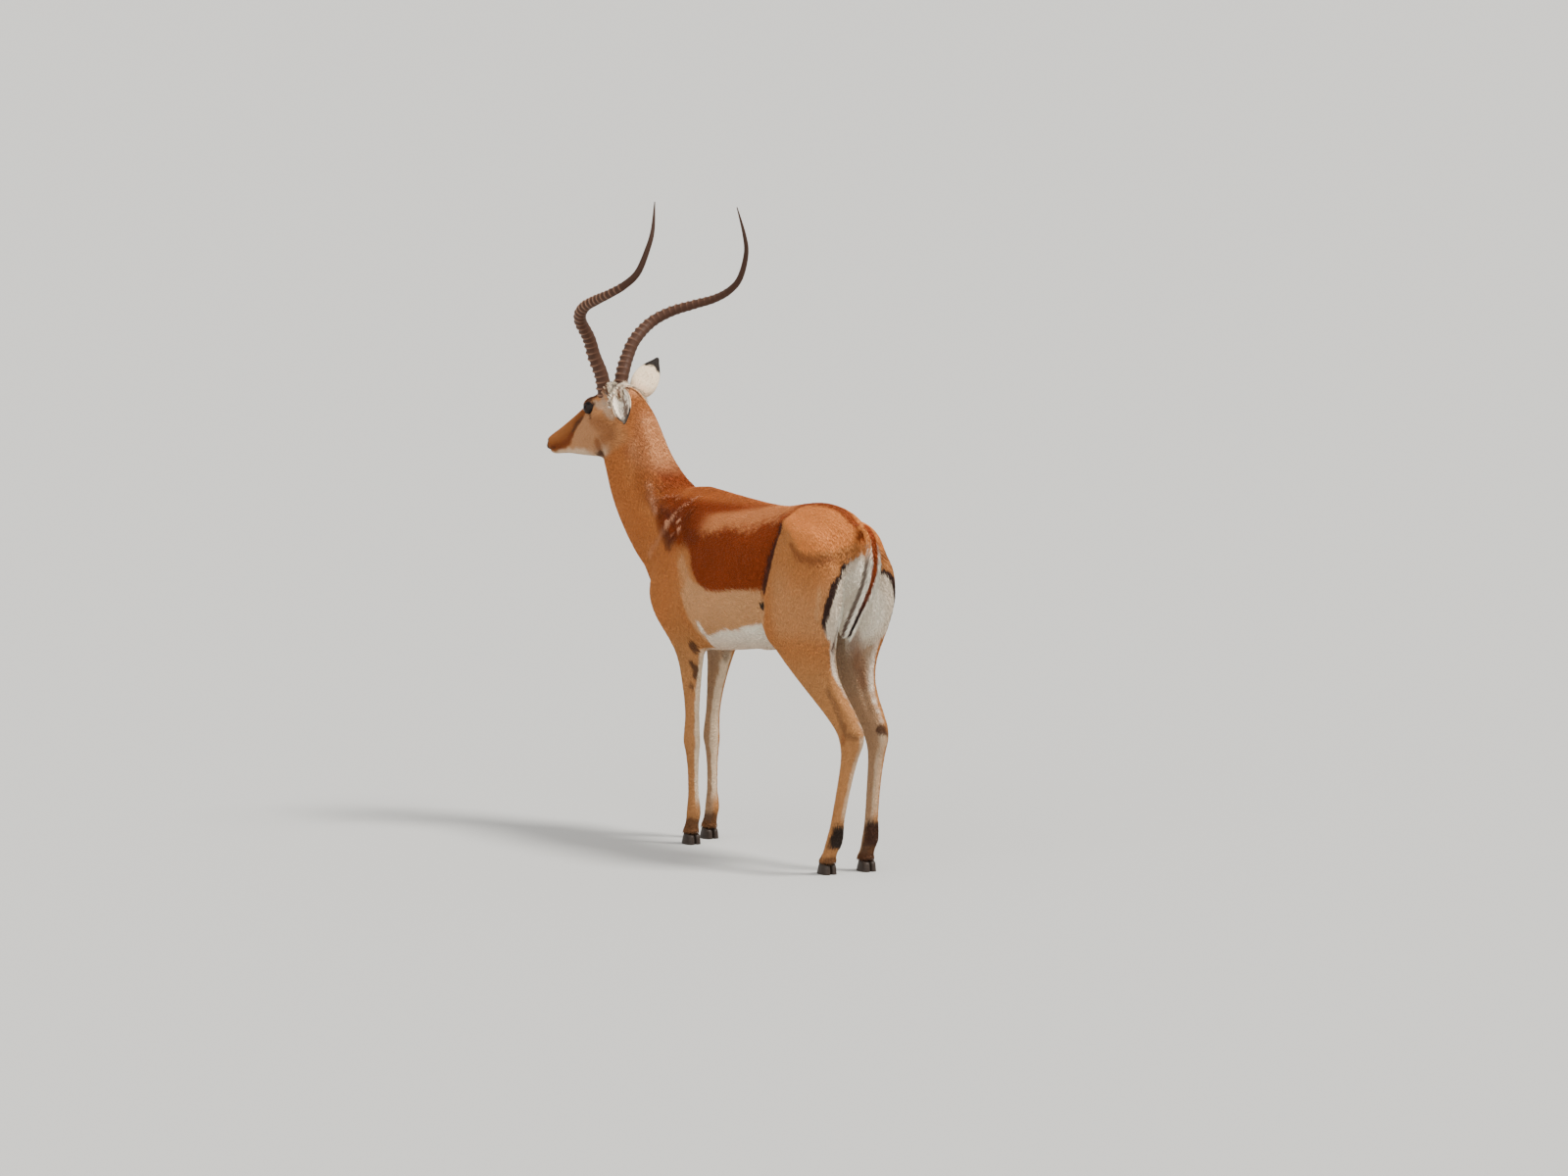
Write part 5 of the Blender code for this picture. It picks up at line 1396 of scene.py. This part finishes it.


# Locks that stand up and turn aside along short ridges, light at their tips, with painted highlights on
# the ridges and painted shade between them
def dressLocks():
    rows = []
    for path, reach, light, count in lockPaths:
        path = metres(path)
        for _ in range(count // (1)):
            share = dice.uniform(0, len(path) - 1)
            spot = [np.interp(share, np.arange(len(path)), path[:, k]) for k in (0, 1)]
            away = dice.normal(size=2) * reach * 0.55
            rows.append((*(spot + away), light * math.exp(-(away @ away) / (reach * 0.75) ** 2)))
    rows = np.array(rows)
    count = len(rows)
    for label, sign in (("Left", 1.0), ("Right", -1.0)):
        root, normal = np.zeros((count, 3)), np.zeros((count, 3))
        for k in range(count):
            hit, face, _, _ = fleshTree.ray_cast(at(rows[k, 0], sign * 0.4, rows[k, 1]),
                                                 Vector((-sign, 0, 0)))
            if hit is None:
                hit, face, _, _ = fleshTree.find_nearest(at(rows[k, 0], sign * 0.08, rows[k, 1]))
            root[k], normal[k] = hit, face
        lie, _ = lieOfCoat(root, normal)
        bend = lockMake["ruffle"] * wander(root, 0.021, 0.4) + 0.25 * dice.normal(size=count)
        way = unit(lie + np.cross(normal, lie) * bend[:, None])
        sizes = np.column_stack([lockMake["length"] * dice.uniform(0.7, 1.15, count),
                                 np.full(count, lockMake["width"]),
                                 lockMake["stand"] * dice.uniform(0.45, 1.15, count)])
        colour = paint(root, normal)
        # painted shade away from each ridge, painted highlight along it
        lay(colour, 0.30 * ramp(-rows[:, 2], -0.30, -0.05), "deepRufous")
        light = rows[:, 2]
        lay(colour, (0.20 + 0.70 * light) * ramp(light + 0.10 * dice.normal(size=count), 0.12, 0.60),
            "curlHighlight")
        # none on the neck's crest, where they would break the outline
        flat = np.abs(normal[:, 0]) > 0.55
        root, normal, way, sizes, colour = (part[flat] for part in (root, normal, way, sizes, colour))
        growTufts(f"coatLocks{label}", root, way, normal, sizes, colour, unwrap(root, partOf(root)),
                  fleshTree)


# Longer streaked hair that runs from behind the horns over the roots of the ears
def dressCrown():
    count = coatMake["crownLocks"] // 1
    for label, sign in (("Left", 1.0), ("Right", -1.0)):
        along, turn = dice.uniform(-0.010, 0.042, count), np.radians(dice.uniform(8, 74, count))
        root, normal = np.zeros((count, 3)), np.zeros((count, 3))
        for k in range(count):
            start = inHead(along[k], sign * 0.14 * math.sin(turn[k]), 0.14 * math.cos(turn[k]))
            toward = inHead(along[k], 0, 0) - start
            hit, face, _, _ = fleshTree.ray_cast(start, toward.normalized())
            if hit is None:
                hit, face, _, _ = fleshTree.find_nearest(start + toward * 0.6)
            root[k], normal[k] = hit, face
        way = turned(np.tile((-0.62, sign * 0.50, -0.60), (count, 1))) @ headAxes.T
        way -= normal * (way * normal).sum(1, keepdims=True)
        way = unit(way + 0.10 * dice.normal(size=(count, 3)))
        sizes = np.column_stack([dice.uniform(0.014, 0.025, count), np.full(count, 0.0023),
                                 dice.uniform(0.001, 0.004, count)])
        colour = paint(root, normal)
        streak = np.sin(along * 420 + 1.4 * wander(root, 0.020) + 0.8)
        lay(colour, 0.80 * ramp(streak, -0.35, 0.05), "cream")
        lay(colour, 0.55 * ramp(streak, 0.55, 0.85), "white")
        lay(colour, 0.75 * ramp(-streak, 0.35, 0.70), "umber")
        growTufts(f"coatCrown{label}", root, way, normal, sizes, colour, unwrap(root, partOf(root)))


dressBody()
dressTail()
dressEars()
dressLocks()
dressCrown()
note("coat grown")

hornRows = metres((
    (56, 27, 40, 19.5), (38.7, 40.2, 89.9, 18.8), (25.5, 65.1, 138.9, 18), (6.5, 90.3, 179.5, 17.2),
    (-20.9, 139, 218.4, 16.2), (-68.6, 171, 231.3, 14.8), (-129.3, 191.2, 227.8, 13.4),
    (-186.5, 206, 222.6, 12.2), (-242.1, 207.6, 225.1, 11.1), (-291.1, 201.9, 242.1, 9.8),
    (-335.7, 194.1, 289.8, 8), (-356.3, 180.8, 333.5, 6.2), (-370.9, 162.4, 403.3, 2.4),
))      # along, side, above, radius
hornShape = {
    "spacing": 0.0168, "ringed": 0.66, "rise": 0.0044, "round": 36, "stopsEach": 9, "smoothStops": 46,
    "valley": (0.030, 0.009, 0.004), "crest": (0.420, 0.225, 0.140), "tip": (0.040, 0.018, 0.011),
}


def makeHorn(name, sign, mat):
    rows = smoothRows(hornRows, 24)
    centres = [inHead(r[0], sign * r[1], r[2]) for r in rows]
    runs = np.concatenate([[0], np.cumsum([(b - a).length for a, b in zip(centres, centres[1:])])])
    total = runs[-1]
    spacing, each = hornShape["spacing"], hornShape["stopsEach"]
    rings = int(total * hornShape["ringed"] / spacing)
    stops = list(np.arange(rings * each) / each * spacing)
    stops += list(np.linspace(rings * spacing, total, hornShape["smoothStops"]))
    bm = bmesh.new()
    loops, marks, wraps = [], [], []
    side = headMatrix.to_3x3() @ Vector((0, -1, 0))
    for i, run in enumerate(stops):
        k = min(max(int(np.searchsorted(runs, run)), 1), len(runs) - 1)
        share = (run - runs[k - 1]) / (runs[k] - runs[k - 1])
        centre = centres[k - 1].lerp(centres[k], share)
        radius = rows[k - 1][3] + (rows[k][3] - rows[k - 1][3]) * share
        along = (centres[k] - centres[k - 1]).normalized()
        side = (side - along * side.dot(along)).normalized()
        above = along.cross(side)
        phase = (run / spacing) % 1.0
        inRings = run < rings * spacing
        wave = math.sin(math.pi * (phase / 0.62)) ** 1.6 if inRings and phase < 0.62 else 0.0
        fade = (1 - 0.62 * run / total) * (1 if run > 0.012 else 0.6)
        if inRings:
            fade *= 1 - 0.55 * float(ramp(np.array(run / (rings * spacing)), 0.72, 1.0))
        verts = circle(bm, hornShape["round"], i in (0, len(stops) - 1))
        for v in verts:
            c, s = v.co.x, v.co.y
            angle = math.atan2(s, c)
            front = 0.55 + 0.45 * c
            knobs = 1 + 0.10 * math.sin(angle * 3 + run * 61) + 0.06 * math.sin(angle * 7 + run * 173)
            proud = radius - hornShape["rise"] * 0.25 + hornShape["rise"] * wave * fade * front * knobs
            proud -= 0.0004 * (math.cos(angle * 9 + 3 * run) > 0.55)
            v.co = centre + side * proud * c + above * proud * s * 0.92
            marks.append(wave * (0.45 + 0.55 * front))
            wraps.append((angle / (2 * math.pi), run * 10, 0.0))
        loops.append(edgesOf(verts))
    bridgeAll(bm, loops)
    horn = newObject(name, bm, mat)
    marks, wraps = np.array(marks), np.array(wraps)
    ageing = ramp(wraps[:, 1] / 10 / total, 0.45, 0.95)
    colour = np.tile(hornShape["valley"], (len(marks), 1)).astype(float)
    # ring crests painted lighter, most on the front: partly worn horn, partly painted highlight
    lay(colour, 0.62 * ramp(marks, 0.40, 0.95) * (1 - 0.75 * ageing), np.array(hornShape["crest"]))
    lay(colour, 0.12 + 0 * marks, np.array(hornShape["crest"]) * 0.6)
    lay(colour, ageing, np.array(hornShape["tip"]))
    writeColour(horn.data, colour)
    writeVectors(horn.data, "hornWrap", wraps)
    return horn


hornMaterial = streakedMaterial("ringedHorn", 0.50, "hornWrap", (60.0, 5.0, 1.0),
                                {"Scale": 1.0, "Detail": 4.0, "Roughness": 0.6}, (0.55, 1.45),
                                (0.55, 0.0010), Specular_IOR_Level=0.16)
for name, node, sign in (("hornLeft", "horn_left", 1), ("hornRight", "horn_right", -1)):
    horn = makeHorn(name, sign, hornMaterial)
    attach(horn, "root")
    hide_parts(node)

eyeLook = {
    "pupil": (0.004, 0.0035, 0.004), "iris": (0.026, 0.011, 0.006), "rim": (0.008, 0.006, 0.006),
    "cornea": 0.0105, "rise": 0.0007, "irisEdge": (0.0118, 0.0100), "pupilHalf": (0.0072, 0.0030),
}


# A number for each face from its lowest vertices, by which a ball's faces keep one order in every run
def faceOrder(face):
    a, b, c = sorted(v.index for v in face.verts)[:3]
    return (a * 4096 + b) * 4096 + c


def makeEye(name, sign, mat):
    centre, out, long, high = eyeFrame(sign)
    bm = bmesh.new()
    turn = Matrix((long, high, out)).transposed().to_4x4()
    bmesh.ops.create_uvsphere(bm, u_segments=64, v_segments=48, radius=eyeShape["radius"],
                              matrix=Matrix.Translation(centre) @ turn)
    bm.verts.index_update()
    bm.faces.sort(key=faceOrder)
    for v in bm.verts:                    # the cornea stands a little proud
        away = v.co - centre
        spot = math.hypot(away.dot(long), away.dot(high)) / eyeLook["cornea"]
        if away.dot(out) > 0 and spot < 1:
            v.co += out * eyeLook["rise"] * (1 - spot * spot)
    eye = newObject(name, bm, mat)
    co = readCo(eye.data) - np.array(centre)
    u, v, w = co @ np.array(long), co @ np.array(high), co @ np.array(out)
    colour = np.tile(eyeLook["rim"], (len(co), 1)).astype(float)
    edge, full = eyeLook["irisEdge"]
    iris = ramp(-np.hypot(u, v), -edge, -full) * (w > 0)
    rays = 0.75 + 0.25 * np.sin(np.arctan2(v, u) * 40)
    lay(colour, iris * rays, np.array(eyeLook["iris"]))
    length, height = eyeLook["pupilHalf"]
    slit = ramp(-np.maximum(np.abs(u) / length, np.abs(v) / height), -1.15, -0.9) * (w > 0)
    lay(colour, slit, np.array(eyeLook["pupil"]))
    writeColour(eye.data, colour)
    return eye


eyeMaterial = makeEyeMaterial()
for name, node, sign in (("eyeballLeft", "eye_left", 1), ("eyeballRight", "eye_right", -1)):
    eyeball = makeEye(name, sign, eyeMaterial)
    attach(eyeball, "root")
    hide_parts(node)


# Along the claw from toe to heel, inner and outer edge; then share of the height, spread, slip back
clawOutline = ((1.0, 0.0012, 0.0042), (0.80, 0.0008, 0.0108), (0.45, 0.0007, 0.0165),
               (0.0, 0.0007, 0.0192),
               (-0.45, 0.0008, 0.0200), (-0.80, 0.0018, 0.0178), (-1.0, 0.0050, 0.0130))
clawLevels = ((0.0, 0.985, 0.0), (0.02, 1.0, 0.0), (0.12, 0.996, 0.0), (0.30, 0.970, -0.0004),
              (0.50, 0.935, -0.0010), (0.70, 0.895, -0.0016), (0.86, 0.850, -0.0020),
              (0.96, 0.790, -0.0022), (1.0, 0.66, -0.0022))


# One claw: a pointed outline raised to the hair line, rounded at the wall's edges
def makeClaw(name, leg, isFore, inner, mat):
    forward, across = hoofShape["fore" if isFore else "hind"]
    middle = legCentre(leg, 0.0, forward, across)
    half = hoofShape["length"] / 2
    away = leg["side"] * (-1 if inner else 1)
    outline = smoothRows(clawOutline, 3)
    loop = [(r[0], r[2]) for r in outline] + [(r[0], r[1]) for r in outline[::-1]]
    bm = bmesh.new()
    loops = []
    for n, (share, spread, slip) in enumerate(clawLevels):
        verts = circle(bm, len(loop), n in (0, len(clawLevels) - 1))
        for v, (along, beside) in zip(verts, loop):
            ahead = along * half * spread * (1 - (hoofShape["lean"] * share if along > 0 else 0)) + slip
            top = hoofShape["coronet"] + hoofShape["slope"] * ahead
            v.co = Vector((middle.x + away * beside * (0.5 + 0.5 * spread), middle.y - ahead,
                           top * share))
        loops.append(edgesOf(verts))
    bridgeAll(bm, loops)
    return newObject(name, bm, mat)


hoofMaterial = makeHoofMaterial()
for legName, leg in stance.items():
    isFore, isLeft = legName.startswith("fore"), legName.endswith("Left")
    for inner in (True, False):
        half = "inner" if inner else "outer"
        node = f"{'front' if isFore else 'hind'}_claw_{'left' if isLeft else 'right'}_{half}"
        name = f"claw{legName[0].upper()}{legName[1:]}{half.title()}"
        claw = makeClaw(name, leg, isFore, inner, hoofMaterial)
        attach(claw, "root")
        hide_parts(node)
note("horns, eyes and hooves made")

stageSet = {
    "cameraPlace": (9.4432, 14.0048, 2.5), "cameraAim": (0.16236, 0.47892, 0.72061), "lens": 154.07,
    "floor": (0.50, 0.50, 0.485), "sunAngle": 14, "sunPower": 5.1, "fillPower": 1.6,
}
bm = bmesh.new()
bmesh.ops.create_grid(bm, x_segments=2, y_segments=2, size=160.0)
floorMat, _, floorShader = newMaterial("paleFloor", 0.85)
floorShader.inputs["Base Color"].default_value = (*stageSet["floor"], 1)
floor = newObject("floor", bm, floorMat)


def sun(name, toward, power, angle, colour=(1, 1, 1)):
    light = bpy.data.lights.new(name, "SUN")
    light.energy, light.angle, light.color = power, math.radians(angle), colour
    obj = bpy.data.objects.new(name, light)
    bpy.context.scene.collection.objects.link(obj)
    obj.rotation_euler = Vector(toward).to_track_quat("Z", "Y").to_euler()


sun("key", (-0.42, 0.72, 1.25), stageSet["sunPower"], stageSet["sunAngle"], (1.0, 0.97, 0.92))
sun("fill", (0.80, 0.60, 0.55), stageSet["fillPower"], 70)
world = bpy.data.worlds.new("studio")
world.use_nodes = True
world.node_tree.nodes["Background"].inputs["Color"].default_value = (1.0, 0.985, 0.965, 1)
world.node_tree.nodes["Background"].inputs["Strength"].default_value = 0.80
bpy.context.scene.world = world

camera = bpy.data.cameras.new("camera")
camera.lens, camera.sensor_width = stageSet["lens"], 36
camera.clip_end = 600
cameraObject = bpy.data.objects.new("camera", camera)
bpy.context.scene.collection.objects.link(cameraObject)
cameraObject.location = stageSet["cameraPlace"]
sight = Vector(stageSet["cameraAim"]) - Vector(stageSet["cameraPlace"])
cameraObject.rotation_euler = sight.to_track_quat("-Z", "Y").to_euler()
bpy.context.scene.camera = cameraObject

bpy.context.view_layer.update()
note("done")
